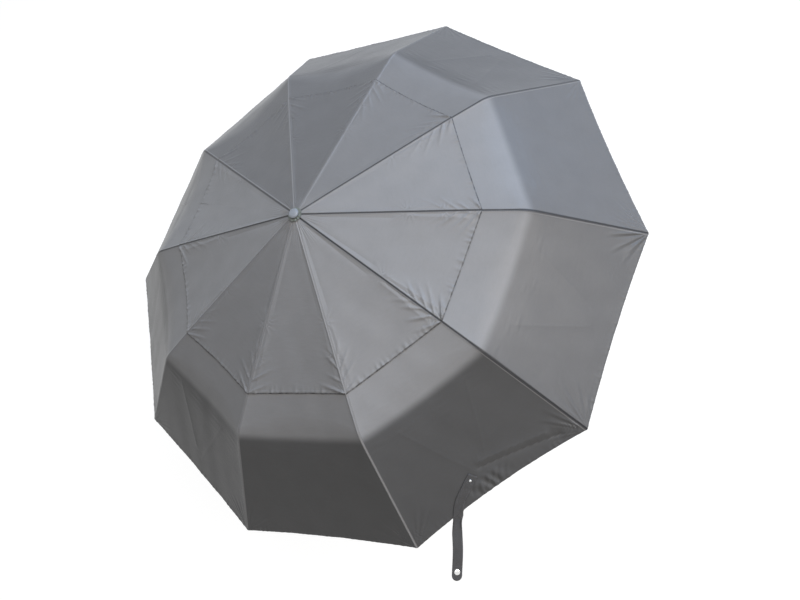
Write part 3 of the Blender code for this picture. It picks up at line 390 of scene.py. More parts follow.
# Folds that the vent's corner pulls into the upper canopy, and puckers where it is tacked to the rib
def ventFolds(station, u, v, side, rib):
    sizes = creaseSizes
    bold = cornerPull[rib]
    height = bold * sizes["cornerHeight"] * fan(u, v, sizes["cornerReach"], 4 + 2 * chance(rib, side, 8),
                                                math.tau * chance(rib, side, 9), 0.10, 1.05)
    start = 0.001
    for nth in range(sizes["folds"]):
        lean = math.radians(68 - 13 * nth + 16 * (chance(rib, side, nth, 7) - 0.5))
        length = sizes["foldLength"] * (0.75 + 0.7 * chance(rib, side, nth, 10))
        tall = sizes["foldHeight"] * (1.15 - 0.22 * nth) * (0.6 + 0.6 * chance(rib, side, nth, 11))
        bow = 0.008 * (chance(rib, side, nth, 12) - 0.4)
        height += bold * tall * foldFrom(u, v, start, lean, length, sizes["foldWidth"], bow)
        start += 0.011 + 0.010 * chance(rib, side, nth, 24)
    for spot, tack in enumerate(sizes["tacks"]):
        up = (tack + 0.006 * (chance(rib, spot, 13) - 0.5) - station) * canopy["ventSlant"]
        weight = 0.35 + 0.75 * chance(rib, side, spot, 14)
        height += weight * sizes["tackHeight"] * fan(
            u, up, sizes["tackReach"], 5 + 3 * chance(rib, spot, 15),
            math.tau * chance(rib, side, spot, 16), 0.05, 0.95, both=True)
    # a long fold from the first joint to the corner, and a hollow beside the rib above it
    long = bold * (0.4 + 0.6 * chance(rib, side, 25))
    height += long * sizes["longFold"] * (pressed(u, v, (0.013, 0.008), (0.007, 0.118), 0.0042)
                                          - 0.8 * pressed(u, v, (0.006, 0.012), (0.003, 0.112), 0.0035))
    return height - long * sizes["hollow"] * pressed(u, v, (0.010, 0.130), (0.005, 0.280), 0.0050)


def apexRays(station, c, u, panel):
    azimuth = np.arctan(c * math.tan(halfPanel)) - 2 * panel * halfPanel
    rays = np.sin(70 * azimuth + 3 * np.sin(7 * azimuth)) + 0.6 * np.sin(110 * azimuth + 2)
    return (creaseSizes["apexHeight"] * rays * smoothStep((station - 0.010) / 0.014)
            * hump(station, 0, creaseSizes["apexReach"]) * smoothStep(u / 0.003))


def tipFolds(u, v, side, rib):
    sizes = creaseSizes
    height = 0
    for nth in range(sizes["tipFolds"]):
        turn = math.radians(12 + 14 * nth + 9 * (chance(rib, side, nth, 18) - 0.5))
        tall = tipPull[rib] * sizes["tipHeight"] * (0.45 + 0.75 * chance(rib, side, nth, 19))
        reach = sizes["tipReach"] * (0.65 + 0.6 * chance(rib, side, nth, 26))
        height += tall * rayFrom(u, v, turn, reach, sizes["tipWidth"])
    return height


# Lines that the folded skirt was pressed along, and fine wrinkles along its knee
def skirtLines(station, x, u, v, panel):
    sizes = creaseSizes
    height = 0
    inset = (station - canopy["kneeRadius"]) * canopy["skirtSlant"]
    for arm in (-1, 1):
        lean = 0.012 * (chance(panel, arm, 20) - 0.5)
        top = (arm * (0.066 + lean), 0.190 + lean)
        foot = (arm * 0.010 + lean, 0.045 + 2 * lean)
        height += (sizes["pressHeight"] * (0.4 + 0.8 * chance(panel, arm, 21))
                   * pressed(x, v, foot, top, sizes["pressWidth"]) * smoothStep((inset - 0.005) / 0.02))
    fold = 0.5 * (chance(panel, 22) - 0.5)
    height += 0.22 * sizes["pressHeight"] * pressed(x, v, (0.02 * fold, 0.012), (0.05 * fold, 0.150),
                                                  sizes["pressWidth"])
    knee = hump(station, canopy["kneeRadius"] + 0.020, 0.020) * smoothStep(u / 0.02)
    patchy = 0.5 + 0.5 * ripple(x / 0.061 + chance(panel, 27))
    return height + sizes["kneeWrinkle"] * knee * patchy * (
        ripple(v / 0.0125 + x / 0.19 + 0.2 * np.sin(x / 0.014))
        + 0.6 * ripple(v / 0.0083 - x / 0.12 + 0.25 * np.sin(x / 0.010 + 2 * panel)))


# The strap pulls a valley and a ridge into its skirt and crumples the hem beside it
def strapPull(x, v, loose):
    sizes = creaseSizes
    valley = pressed(x, v, (-0.012, 0.048), (0.135, 0.014), sizes["strapPullWidth"])
    ridge = pressed(x, v, (-0.008, 0.060), (0.120, 0.030), sizes["strapPullWidth"])
    crumple = (smoothStep((x + 0.046) / 0.014) * smoothStep((0.050 - x) / 0.045)
               * smoothStep((0.036 - v) / 0.020) * (0.35 + 0.65 * smoothStep(v / 0.010)))
    coarse, fine = sizes["crumple"]
    return (loose * (sizes["strapRidge"] * ridge - sizes["strapPull"] * valley)
            + crumple * (coarse * ripple(x / 0.021 + v / 0.060 + 0.22 * np.sin(x / 0.009))
                         + fine * ripple(x / 0.0125 - v / 0.034 + 0.25 * np.sin(v / 0.007))))


def creases(station, c, panel, upper, side):
    rib = panel if side > 0 else panel + 1
    halfWide = station * math.sin(halfPanel)
    u, x = (1 - np.abs(c)) * halfWide, c * halfWide
    edge, slant = ("ventRadius", "ventSlant") if upper else ("tipRadius", "skirtSlant")
    v = (canopy[edge] - station) * canopy[slant]
    loose = smoothStep(u / creaseSizes["seamClear"])
    height = swells(station, c, x, u, panel) + ribSeam(station, u, side) + hem(x, u, v, panel, upper)
    if upper:
        return height + loose * ventFolds(station, u, v, side, rib) + apexRays(station, c, u, panel)
    height += loose * tipFolds(u, v, side, rib) + skirtLines(station, x, u, v, panel)
    return height + strapPull(x, v, loose) if panel == strapPanel else height


def clothShape(panel, upper, side, sunk=0.0):
    def smooth(station, c):
        return smoothCloth(station, c, panel, upper)

    def shape(station, c):
        height = creases(station, c, panel, upper, side) - sunk
        return smooth(station, c) + facingOf(smooth, station, c) * height[..., None]
    return shape


# Painted sheen and shade for each panel's crown and its steep skirt: each gore's colour is scaled paler or
# darker as the light falls on it, the skirts darker
paintedGoreShades = {1: (0.72, 0.60), 2: (0.71, 0.55), 3: (0.98, 0.57), 4: (1.22, 0.73), 5: (1.22, 0.65),
             6: (1.27, 0.42), 7: (1.03, 0.36), 8: (0.92, 0.35), 9: (1.09, 0.64), 10: (1.11, 0.67)}
# How each rib's seam is painted: 0 pale, a painted highlight on its welt, 1 dark, a painted shadow in its
# open groove
paintedSeamShades = {1: 0.85, 2: 0.15, 3: 0.40, 4: 0.85, 5: 0.95, 6: 1.0, 7: 0.0, 8: 0.32, 9: 0.45, 10: 0.95}


def paintedShadeAt(panel, station):
    crown, skirt = paintedGoreShades[panel or 10]
    steep = smoothStep((station - canopy["kneeRadius"] + 0.005) / 0.015)
    return crown + (skirt - crown) * steep


# canopy cloth: pongee, a fine satin weave with a soft metallic sheen
def makeCloth(name, upper):
    values = {
        "thread": (0.207, 0.208, 0.212, 1), "shadowThread": (0.190, 0.191, 0.195, 1), "weave": 0.00042,
        # the painted shadow colour of the seam's groove and of the vent's edge, its widths, and the welt's
        # painted highlight colour
        "paintedShadow": (0.022, 0.022, 0.024, 1), "seamInner": 0.0008, "seamOuter": 0.0021, "shadowWiden": 0.0016,
        "welt": (0.27, 0.27, 0.275, 1), "weltEdge": 0.0032, "weltHighlight": 0.7,
        "ventShadow": 0.88, "ventLineInner": 0.0010, "ventLineOuter": 0.0025,
        "stitch": 0.0026, "stitchOff": 0.0021, "stitchColor": (0.085, 0.085, 0.09, 1),
    }
    material, tree, shader = startMaterial(name, Specular_IOR_Level=0.22)
    place = objectPlace(tree)
    sewn = addNode(tree, "UVMap", uv_map="cloth").outputs[0]
    across, along, _ = addNode(tree, "SeparateXYZ", {"Vector": sewn}).outputs
    offRib = calc("SUBTRACT", times(along, math.sin(halfPanel)), calc("ABSOLUTE", across))
    weave = times(wave(along, values["weave"]), wave(across, values["weave"]))
    slub = noise(stretched(sewn, (35, 900, 1)), 1.0)
    fine = noise(place, 240, 3, 0.6)
    cloudy = mixed((noise(place, 26, 3), 0.55), (slub, 0.25), (fine, 0.2))
    color = blendColor(spread(cloudy, 0.35, 0.65), values["shadowThread"], values["thread"])
    # painted sheen and shade: the colour is scaled by its panel's painted tone
    tone = addNode(tree, "Attribute", attribute_name="paintedGoreShade").outputs["Fac"]
    color = addNode(tree, "VectorMath", {0: color, "Scale": tone}, operation="SCALE").outputs[0]
    # the seam: a painted shadow in its groove on some ribs, on others a painted highlight on its pale welt
    groove = addNode(tree, "Attribute", attribute_name="paintedSeamShade").outputs["Fac"]
    line = blendColor(groove, values["welt"], values["paintedShadow"])
    # the painted shadow widens past the knee and narrows towards the tip
    vent, knee, tip = (canopy[key] for key in ("ventRadius", "kneeRadius", "tipRadius"))
    shadowWiden = times(groove, spread(along, knee - 0.02, knee + 0.01),
                 spread(along, knee + 0.02, tip - 0.02, 1, 0))
    reach = calc("ADD", values["seamOuter"], times(shadowWiden, values["shadowWiden"]))
    color = blendColor(spread(offRib, values["seamInner"], reach, 1, 0), color, line)
    # a painted highlight along the welt's turned edge, on one side of the groove
    turned = stripe(offRib, values["weltEdge"], 0.0003, 0.0011, values["weltHighlight"])
    color = blendColor(times(turned, groove, spread(across, 0, 0.001)), color, values["welt"])
    if upper:
        # a painted shadow along the vent's edge, where its hem lies over the lower canopy
        uneven = spread(noise(stretched(sewn, (140, 60, 1)), 1.0), 0.35, 0.65, 0.45, 1)
        edge = spread(along, vent - values["ventLineOuter"], vent - values["ventLineInner"],
                      0, values["ventShadow"])
        color = blendColor(times(edge, uneven), color, values["paintedShadow"])
    dash = spread(wave(along, values["stitch"]), -0.55, -0.35)
    stitches = times(stripe(offRib, values["stitchOff"], 0.00012, 0.0003), dash)
    color = blendColor(times(stitches, 0.5), color, values["stitchColor"])
    feed(shader, color, spread(cloudy, 0.3, 0.7, 0.40, 0.35))
    # height: threads, then the small dry creases of a cloth that was folded
    creased = noise(stretched(sewn, (60, 150, 1)), 1.0, 4, 0.55)
    bumped(shader, mixed((weave, 0.02), (creased, 0.55), (fine, 0.06), (stitches, 0.15)), 0.0008, 0.5)
    return material


def rowsBetween(start, end, tight=()):
    step = canopy["rowStep"] * 1
    far = end - (max(tight) if tight else 0)
    count = max(2, round((far - start) / step))
    return np.array(list(np.linspace(start, far, count + 1))
                    + sorted(end - gap for gap in tight if end - gap > far + 1e-6))


# Distances from the rib, as shares: the seam's own columns first, then ones that crowd towards it
def columnsOf(station, index, count, crowding):
    seam = np.array([0, 0.0005, 0.0011, 0.0019, 0.0030, 0.0036, 0.0042, 0.0052])
    halfWide = station * math.sin(halfPanel)
    fits = np.minimum(1, halfWide / 0.014)
    last = len(seam) - 1
    near = np.interp(np.minimum(index, last), np.arange(last + 1), seam) * fits
    rest = np.clip((index - last) / (count - last), 0, 1) ** crowding
    off = near + rest * (halfWide - seam[-1] * fits)
    return np.clip(off / halfWide, 0, 1)


# A grid with a second layer below it: its corners' columns and rows, and which of them are in that layer
def doubleGrid(columns, rows):
    bm = bmesh.new()
    bmesh.ops.create_grid(bm, x_segments=columns, y_segments=rows, size=0.5)
    under = bmesh.ops.extrude_face_region(bm, geom=bm.faces[:], use_keep_orig=True)["geom"]
    lower = [item for item in under if isinstance(item, bmesh.types.BMVert)]
    bmesh.ops.translate(bm, verts=lower, vec=(0, 0, -1))
    bmesh.ops.recalc_face_normals(bm, faces=bm.faces[:])
    flat = np.array([vert.co for vert in bm.verts])
    column, row = (np.rint((flat[:, axis] + 0.5) * count).astype(int)
                   for axis, count in enumerate((columns, rows)))
    return bm, column, row, flat[:, 2] < -0.5


def placeCorners(bm, points):
    for vert, point in zip(bm.verts, points):
        vert.co = point


def writeMap(mesh, name, places):
    corner = np.empty(len(mesh.loops), np.int32)
    mesh.loops.foreach_get("vertex_index", corner)
    uv = mesh.uv_layers.new(name=name)
    uv.data.foreach_set("uv", places[corner].astype(np.float32).ravel())


def writeTone(mesh, name, tones):
    layer = mesh.attributes.new(name, "FLOAT", "POINT")
    layer.data.foreach_set("value", tones.astype(np.float32))


def lengthOf(points):
    return float(np.linalg.norm(np.diff(points, axis=0), axis=1).sum())


def clothStrip(name, rib, side, upper, rows, columns, body, material):
    panel = rib if side > 0 else rib - 1
    top, under = (clothShape(panel, upper, side, sunk) for sunk in (0.0, canopy["cloth"]))
    bm, column, row, isUnder = doubleGrid(columns, len(rows) - 1)
    station = rows[row]
    crowding = 1.0 if panel == strapPanel else canopy["crowding"]
    c = side * (1 - columnsOf(station, column, columns, crowding))
    placeCorners(bm, np.where(isUnder[:, None], under(station, c), top(station, c)))
    if side < 0:
        bmesh.ops.reverse_faces(bm, faces=bm.faces[:])
    piece = newPiece(name, bm, material, None, outward=False)
    mesh = piece.data
    normals = facingOf(top, station, c)
    mesh.normals_split_custom_set_from_vertices(np.where(isUnder[:, None], -normals, normals).tolist())
    writeMap(mesh, "cloth", np.stack([c * station * math.sin(halfPanel), station], axis=-1))
    # the panels' painted sheen and shade, and how each rib's seam is painted
    writeTone(mesh, "paintedGoreShade", paintedShadeAt(panel, station))
    writeTone(mesh, "paintedSeamShade", np.full(len(station), paintedSeamShades[rib]))
    # the strip's length along its middle
    length = lengthOf(top(rows, np.full(len(rows), side * 0.5)))

    # points on the strip: at its rib, along the rib, and across it towards its middle
    def spot(station, c):
        return Vector(top(np.array([station]), np.array([float(c)]))[0])

    middle = (rows[0] + rows[-1]) / 2
    ribAt = spot(middle, side)
    line = (spot(rows[-1], side) - spot(rows[0], side)).normalized()
    wide = spot(middle, 0) - ribAt
    wide = (wide - line * wide.dot(line)).normalized()
    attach(piece, body)
    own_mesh(piece)
    return piece


def makeCanopies():
    cloths = {True: makeCloth("ventPongee", True), False: makeCloth("skirtPongee", False)}
    hemRows = (0, 0.0006, 0.0020, 0.0036, 0.0050, 0.0058, 0.0070)
    vent, tip = canopy["ventRadius"], canopy["tipRadius"]
    # name, upper canopy, its start and end along the ribs, rows at the hem, carrier, columns
    parts = [("upperInner", True, canopy["apexHole"], canopy["firstJoint"], (), "top_rib", "ventColumns"),
             ("upperOuter", True, canopy["firstJoint"], vent, hemRows, "middle_rib", "ventColumns"),
             ("lowerInner", False, canopy["lowerHole"], canopy["kneeJoint"], (), "middle_rib", "kneeColumns"),
             ("lowerOuter", False, canopy["kneeJoint"], tip, hemRows, "outer_rib", "skirtColumns")]
    total = 0
    for part, upper, start, end, tight, carrier, columnsOfPart in parts:
        rows = rowsBetween(start, end, tight)
        columns = canopy[columnsOfPart] // 1
        for rib in ribNumbers:
            for word, side in (("Left", 1), ("Right", -1)):
                strip = clothStrip(f"{part}{word}_{rib}", rib, side, upper, rows, columns,
                                   f"{carrier}_{rib}", cloths[upper])
                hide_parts("canopy_upper" if upper else "canopy_lower")
                total += 2 * len(strip.data.polygons)
    print("canopies:", total, "triangles")


makeCanopies()


# finishes of the hard parts

# Coordinates that run round the shaft, out from it and up it, for marks that follow a turned part or a rib
def roundShaft(place, around, outward, upward):
    x, y, z = addNode(place.id_data, "SeparateXYZ", {"Vector": place}).outputs
    radius = calc("SQRT", calc("ADD", times(x, x), times(y, y)))
    run = times(calc("ARCTAN2", y, x), around), times(radius, outward), times(z, upward)
    return addNode(place.id_data, "CombineXYZ", dict(enumerate(run))).outputs[0]


# Drawn metal and fibre: fine lines one way, clouded by handling
def linedFinish(name, pale, dull, rough, grain, turned=False, metallic=1.0, depth=0.00004):
    material, tree, shader = startMaterial(name, Metallic=metallic)
    place = objectPlace(tree)
    lines = noise(roundShaft(place, *grain) if turned else stretched(place, grain), 1.0, 3, 0.6)
    tone = mixed((lines, 0.55), (noise(place, 60, 3, 0.55), 0.45))
    feed(shader, blendColor(spread(tone, 0.36, 0.64), dull, pale),
         spread(tone, 0.35, 0.65, rough + 0.07, rough - 0.05))
    bumped(shader, lines, depth, 0.6)
    return material


# Moulded plastic: a fine matt grain, paler where it has been rubbed
def mouldedFinish(name, color, rubbed, rough, grain=1500, depth=0.00003, specular=0.5):
    material, tree, shader = startMaterial(name, Specular_IOR_Level=specular)
    place = objectPlace(tree)
    clouds = noise(place, 85, 4, 0.6)
    scuffs = spread(noise(stretched(place, (900, 900, 160)), 1.0), 0.66, 0.74, 0, 0.6)
    share = calc("MAXIMUM", spread(clouds, 0.42, 0.66, 0, 0.6), scuffs)
    feed(shader, blendColor(share, color, rubbed), spread(clouds, 0.35, 0.65, rough + 0.05, rough - 0.06))
    bumped(shader, noise(place, grain, 2, 0.6), depth, 0.7)
    return material


finishes = {
    "shaft_steel": linedFinish("shaftChrome", (0.64, 0.65, 0.67, 1), (0.50, 0.51, 0.53, 1), 0.19,
                               (2600, 2600, 14)),
    "spring_steel": linedFinish("springWire", (0.46, 0.46, 0.48, 1), (0.30, 0.30, 0.31, 1), 0.30,
                                (700, 700, 700)),
    "bright_metal": linedFinish("collarChrome", (0.76, 0.76, 0.78, 1), (0.64, 0.64, 0.66, 1), 0.12,
                                (3, 900, 2400), turned=True),
    "snap_metal": linedFinish("snapNickel", (0.82, 0.82, 0.81, 1), (0.70, 0.70, 0.69, 1), 0.22,
                              (800, 800, 800)),
    "rib_metal": linedFinish("ribAluminium", (0.56, 0.57, 0.59, 1), (0.42, 0.43, 0.45, 1), 0.33,
                             (420, 6, 520), turned=True),
    "stretcher_metal": linedFinish("stretcherLacquer", (0.055, 0.055, 0.060, 1), (0.028, 0.028, 0.030, 1),
                                   0.36, (420, 8, 400), turned=True, metallic=0.0),
    "rib_rod": linedFinish("glassFibreRod", (0.045, 0.045, 0.046, 1), (0.018, 0.018, 0.019, 1), 0.40,
                           (700, 5, 700), turned=True, metallic=0.0, depth=0.00006),
    "black_plastic": mouldedFinish("blackNylon", (0.018, 0.018, 0.019, 1), (0.034, 0.034, 0.036, 1), 0.46),
    "soft_touch": mouldedFinish("softTouchRubber", (0.021, 0.021, 0.022, 1), (0.033, 0.033, 0.034, 1),
                                0.68, grain=2200, depth=0.00005, specular=0.35),
    "cap_plastic": mouldedFinish("capPlastic", (0.215, 0.238, 0.270, 1), (0.250, 0.270, 0.300, 1), 0.42,
                                 grain=1800, depth=0.00002),
    "rosette_plastic": mouldedFinish("rosetteVinyl", (0.105, 0.120, 0.108, 1), (0.175, 0.192, 0.175, 1),
                                     0.5, grain=1300),
}


def refinishNodes():
    slotNodes = {
        "black_plastic": ["crown", "runner"],
        "spring_steel": ["crown_wire", "runner_wire"],
        "rib_metal": [f"{part}_{rib}" for part in ("top_rib", "middle_rib") for rib in ribNumbers],
        "rib_rod": [f"outer_rib_{rib}" for rib in ribNumbers],
        "stretcher_metal": [f"stretcher_{rib}" for rib in ribNumbers],
    }
    for slot, names in slotNodes.items():
        for name in names:
            for place in nodes[name].material_slots:
                place.material = finishes[slot]
    print("finishes:", len(finishes))


refinishNodes()


def roundOff(bm, geometry, size, steps, affect="EDGES", **settings):
    bmesh.ops.bevel(bm, geom=geometry, offset=size, offset_type="OFFSET", segments=steps, profile=0.5,
                    affect=affect, material=-1, **settings)


# Parts turned about the shaft: an outline of (radius, height) points, its corners rounded, then spun
def turnedMesh(outline, closed=True, rounded=0.0, steps=64):
    bm = bmesh.new()
    verts = [bm.verts.new((radius, 0, height)) for radius, height in outline]
    for first, second in zip(verts, verts[1:] + (verts[:1] if closed else [])):
        bm.edges.new((first, second))
    if rounded:
        corners = [vert for vert in bm.verts if len(vert.link_edges) == 2 and vert.co.x > 0]
        roundOff(bm, corners, rounded, 3, "VERTICES", clamp_overlap=True)
    bmesh.ops.spin(bm, geom=bm.verts[:] + bm.edges[:], cent=(0, 0, 0), axis=(0, 0, 1), angle=math.tau,
                   steps=steps, use_merge=True)
    bmesh.ops.remove_doubles(bm, verts=bm.verts, dist=1e-6)
    return bm


# Gives a shell its wall, inside it; faceOut tells how far a face looks outwards
def thicken(bm, wall, faceOut):
    bmesh.ops.recalc_face_normals(bm, faces=bm.faces[:])
    if sum(faceOut(face) for face in bm.faces) < 0:
        bmesh.ops.reverse_faces(bm, faces=bm.faces[:])
    bmesh.ops.solidify(bm, geom=bm.faces[:], thickness=wall)


def hardPiece(name, bm, slot, body, replaced=(), place=None, outward=True, crisp=38):
    if place is not None:
        bmesh.ops.transform(bm, matrix=place, verts=bm.verts)
    piece = newPiece(name, bm, finishes[slot], body, outward=outward)
    piece.data.set_sharp_from_angle(angle=math.radians(crisp))
    if replaced:
        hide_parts(*replaced)
    return piece


def coiledWire(radius, wire, foot, top, turns, perTurn=18):
    bm = bmesh.new()
    bmesh.ops.create_circle(bm, cap_ends=True, radius=wire, segments=8)
    bmesh.ops.rotate(bm, verts=bm.verts, matrix=Matrix.Rotation(math.pi / 2, 3, "X"))
    bmesh.ops.translate(bm, verts=bm.verts, vec=(radius, 0, foot + wire))
    steps = round(turns * perTurn)
    bmesh.ops.spin(bm, geom=bm.verts[:] + bm.edges[:] + bm.faces[:], cent=(0, 0, 0), axis=(0, 0, 1),
                   dvec=(0, 0, (top - foot - 2 * wire) / steps), angle=math.tau * turns, steps=steps)
    return bm


# shaft: three tubes, each crimped near its foot, and the drive spring inside them
def makeShaft():
    values = {"spring": 0.00365, "wire": 0.00045, "foot": -0.0298, "top": 0.5815, "turns": 30,
              "travel": 0.165, "crimpUp": 0.0075, "crimpDown": 0.0045, "crimpDepth": 0.00016,
              "crimpHalf": 0.0007, "edge": 0.00012}
    half, deep = values["crimpHalf"], values["crimpDepth"]
    for node, outer, inner, foot, top in (("upper_tube", 0.00675, 0.00620, 0.3774, 0.5824),
                                          ("middle_tube", 0.00590, 0.00530, 0.2124, 0.4124),
                                          ("lower_tube", 0.00500, 0.00440, -0.0310, 0.2474)):
        crimp = foot + values["crimpUp"]
        outline = [(inner, foot), (outer, foot), (outer, crimp - half), (outer - deep, crimp - half / 3),
                   (outer - deep, crimp + half / 3), (outer, crimp + half)]
        if node != "upper_tube":            # a second crimp keeps the tube above from sliding off
            high = top - values["crimpDown"]
            outline += [(outer, high - half), (outer - deep, high), (outer, high + half)]
        outline += [(outer, top), (inner, top)]
        word, rest = node.split("_")
        hardPiece(word + rest.capitalize(), turnedMesh(outline, rounded=values["edge"], steps=48),
                  "shaft_steel", "handle" if node == "lower_tube" else node, [node])
    middle = (values["foot"] + values["top"]) / 2
    for name, body, joint, foot, top in (
            ("driveSpringLower", "handle", "middle_tube_slide", values["foot"], middle),
            ("driveSpringUpper", "middle_tube", "upper_tube_slide", middle, values["top"])):
        wire = coiledWire(values["spring"], values["wire"], foot, top, values["turns"])
        spring = hardPiece(name, wire, "spring_steel", body, ["drive_spring"])
        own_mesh(spring)
    print("shaft ready")


makeShaft()


# handle: a soft-touch shell with grip rings, its chromed collar, end cap and release button
def makeHandle():
    values = {"bore": 0.0053, "halfHeight": 0.042, "wall": 0.0020, "footRadius": 0.0150,
              "ringHeights": (-0.0235, -0.0265, -0.0295, -0.0325), "ringDepth": 0.00045, "ringHalf": 0.0007,
              "windowHeight": 0.022, "windowHalfWide": 0.0048, "windowHalfTall": 0.0068,
              "windowDepth": 0.010, "capFoot": -0.0460, "collar": 0.0105}
    up = values["halfHeight"]
    side = [(0.01395, 0.0400), (0.01452, 0.0350), (0.01525, 0.0290), (0.01590, 0.0231), (0.01640, 0.0155),
            (0.01672, 0.0075), (0.01680, 0.0), (0.01668, -0.0090), (0.01638, -0.0180)]
    outline = [(values["bore"], up), (0.0119, up), (0.0131, up - 0.0003), (0.0137, up - 0.0010)] + side
    startRadius, startHeight = side[-1]
    lean = (startRadius - values["footRadius"]) / (startHeight + up)
    for ring in values["ringHeights"]:
        for rise, sink in ((1, 0), (0.45, 1), (-0.45, 1), (-1, 0)):
            height = ring + rise * values["ringHalf"]
            radius = startRadius + lean * (height - startHeight)
            outline.append((radius - sink * values["ringDepth"], height))
    outline += [(values["footRadius"], -up), (values["footRadius"] - values["wall"], -up)]
    bm = turnedMesh(outline, closed=False, steps=96)
    # the button's window, cut out of the shell before it gets its wall
    wide, tall, high = values["windowHalfWide"], values["windowHalfTall"], values["windowHeight"]
    for point, way in (((0, wide, 0), (0, 1, 0)), ((0, -wide, 0), (0, 1, 0)),
                       ((0, 0, high + tall), (0, 0, 1)), ((0, 0, high - tall), (0, 0, 1))):
        near = [face for face in bm.faces if face.calc_center_median().x > values["windowDepth"]]
        around = dict.fromkeys(part for face in near for part in (*face.edges, *face.verts))
        bmesh.ops.bisect_plane(bm, geom=near + list(around), dist=1e-7, plane_co=point, plane_no=way)
    window = [face for face in bm.faces if (spot := face.calc_center_median()).x > values["windowDepth"]
              and abs(spot.y) < wide and abs(spot.z - high) < tall]
    bmesh.ops.delete(bm, geom=window, context="FACES")
    thicken(bm, values["wall"], lambda face: face.normal.dot(Vector((*face.calc_center_median().xy, 0))))
    hardPiece("handleShell", bm, "soft_touch", "handle", ["handle"], outward=False, crisp=30)

    collar = values["collar"]
    hardPiece("handleCollar", turnedMesh([
        (values["bore"], up + 0.0003), (collar, up + 0.0003), (collar, up + 0.0016),
        (collar - 0.0004, up + 0.0019), (collar, up + 0.0022), (collar, up + 0.0031),
        (collar - 0.00105, up + 0.0042), (values["bore"], up + 0.0042)], rounded=0.00025, steps=72),
        "bright_metal", "handle", ["handle_collar"])
    foot = values["capFoot"]
    hardPiece("handleEndCap", turnedMesh([
        (0, foot + 0.0009), (0.0098, foot + 0.0009), (0.0104, foot), (0.0130, foot), (0.0141, foot + 0.0006),
        (0.0149, foot + 0.0016), (0.0150, foot + 0.0037), (0.0126, foot + 0.0037), (0.0123, foot + 0.0090),
        (0.0041, foot + 0.0090), (0.0041, foot + 0.0150), (0, foot + 0.0150)],
        closed=False, rounded=0.00022, steps=72), "black_plastic", "handle", ["handle_end_cap"])
    print("handle ready")


def makeButton():
    values = {"back": 0.01134, "depth": 0.0068, "wide": 0.0090, "tall": 0.0130, "height": 0.022,
              "cornerRadius": 0.0022, "edgeRadius": 0.0007, "dishInset": 0.0013, "dishDepth": 0.00035,
              "press": 0.0022}
    bm = bmesh.new()
    bmesh.ops.create_cube(bm, size=1)
    bmesh.ops.scale(bm, verts=bm.verts, vec=(values["depth"], values["wide"], values["tall"]))
    deepEdges = [edge for edge in bm.edges if abs(edge.verts[0].co.x - edge.verts[1].co.x) > 0.001]
    roundOff(bm, deepEdges, values["cornerRadius"], 6)
    front = max(bm.faces, key=lambda face: face.calc_center_median().x)
    roundOff(bm, front.edges[:], values["edgeRadius"], 4)
    front = max(bm.faces, key=lambda face: face.calc_center_median().x)
    bmesh.ops.inset_individual(bm, faces=[front], thickness=values["dishInset"], depth=-values["dishDepth"])
    bmesh.ops.translate(bm, verts=bm.verts,
                        vec=(values["back"] + values["depth"] / 2, 0, values["height"]))
    hardPiece("releaseButton", bm, "black_plastic", "release_button", ["release_button"])
    low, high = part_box("button_spring")
    wire = coiledWire((high[2] - low[2]) / 2 - 0.00025, 0.00025, low[0], high[0], 5.5)
    place = Matrix.Translation((0, 0, values["height"])) @ Matrix.Rotation(math.pi / 2, 4, "Y")
    spring = hardPiece("buttonSpring", wire, "spring_steel", "handle", ["button_spring"], place=place)
    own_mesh(spring)
    print("button ready")


makeHandle()
makeButton()


# apex: a pale cap over a puckered rosette
def makeApex():
    values = {"capFoot": 0.58965, "capRadius": 0.0088, "capHeight": 0.0046, "stem": 0.0039,
              "rosetteOuter": 0.0125, "rosetteTop": 0.58932, "rosetteThick": 0.0007, "rows": 14,
              "tilt": 11.0, "pleats": 12, "pleatHeight": 0.00055}
    foot, top = values["capFoot"], values["capFoot"] + values["capHeight"]
    wide = values["capRadius"]
    hardPiece("topCap", turnedMesh([
        (0, top), (0.0022, top - 0.00002), (0.0042, top - 0.00012), (0.0060, top - 0.00040),
        (0.0074, top - 0.00095), (wide - 0.0005, top - 0.0019), (wide, top - 0.0031),
        (wide, foot + 0.0007), (wide - 0.0004, foot), (0.0042, foot), (0.0039, foot + 0.0026),
        (0, foot + 0.0026)], closed=False, steps=96), "cap_plastic", "upper_tube", ["top_cap"])
    outer, stem, tilt = values["rosetteOuter"], values["stem"], math.tan(math.radians(values["tilt"]))
    bm = turnedMesh([(radius, 0) for radius in np.linspace(stem, outer, values["rows"] + 1)],
                    closed=False, steps=180)
    for vert in bm.verts:
        radius, turn = math.hypot(vert.co.x, vert.co.y), math.atan2(vert.co.y, vert.co.x)
        share = max(0.0, (radius - stem) / (outer - stem))
        pleat = math.sin(values["pleats"] * turn + 0.7 * math.sin(3 * turn)) + 0.3 * math.sin(31 * turn)
        grown = 1 - 0.03 * share * (0.5 + 0.5 * math.sin(values["pleats"] * turn))
        vert.co = (vert.co.x * grown, vert.co.y * grown, values["rosetteTop"] - (radius - stem) * tilt
                   + values["pleatHeight"] * share ** 1.5 * pleat)
    thicken(bm, values["rosetteThick"], lambda face: face.normal.z)
    hardPiece("rosette", bm, "rosette_plastic", "upper_tube", ["rosette"], outward=False, crisp=50)
    print("apex ready")


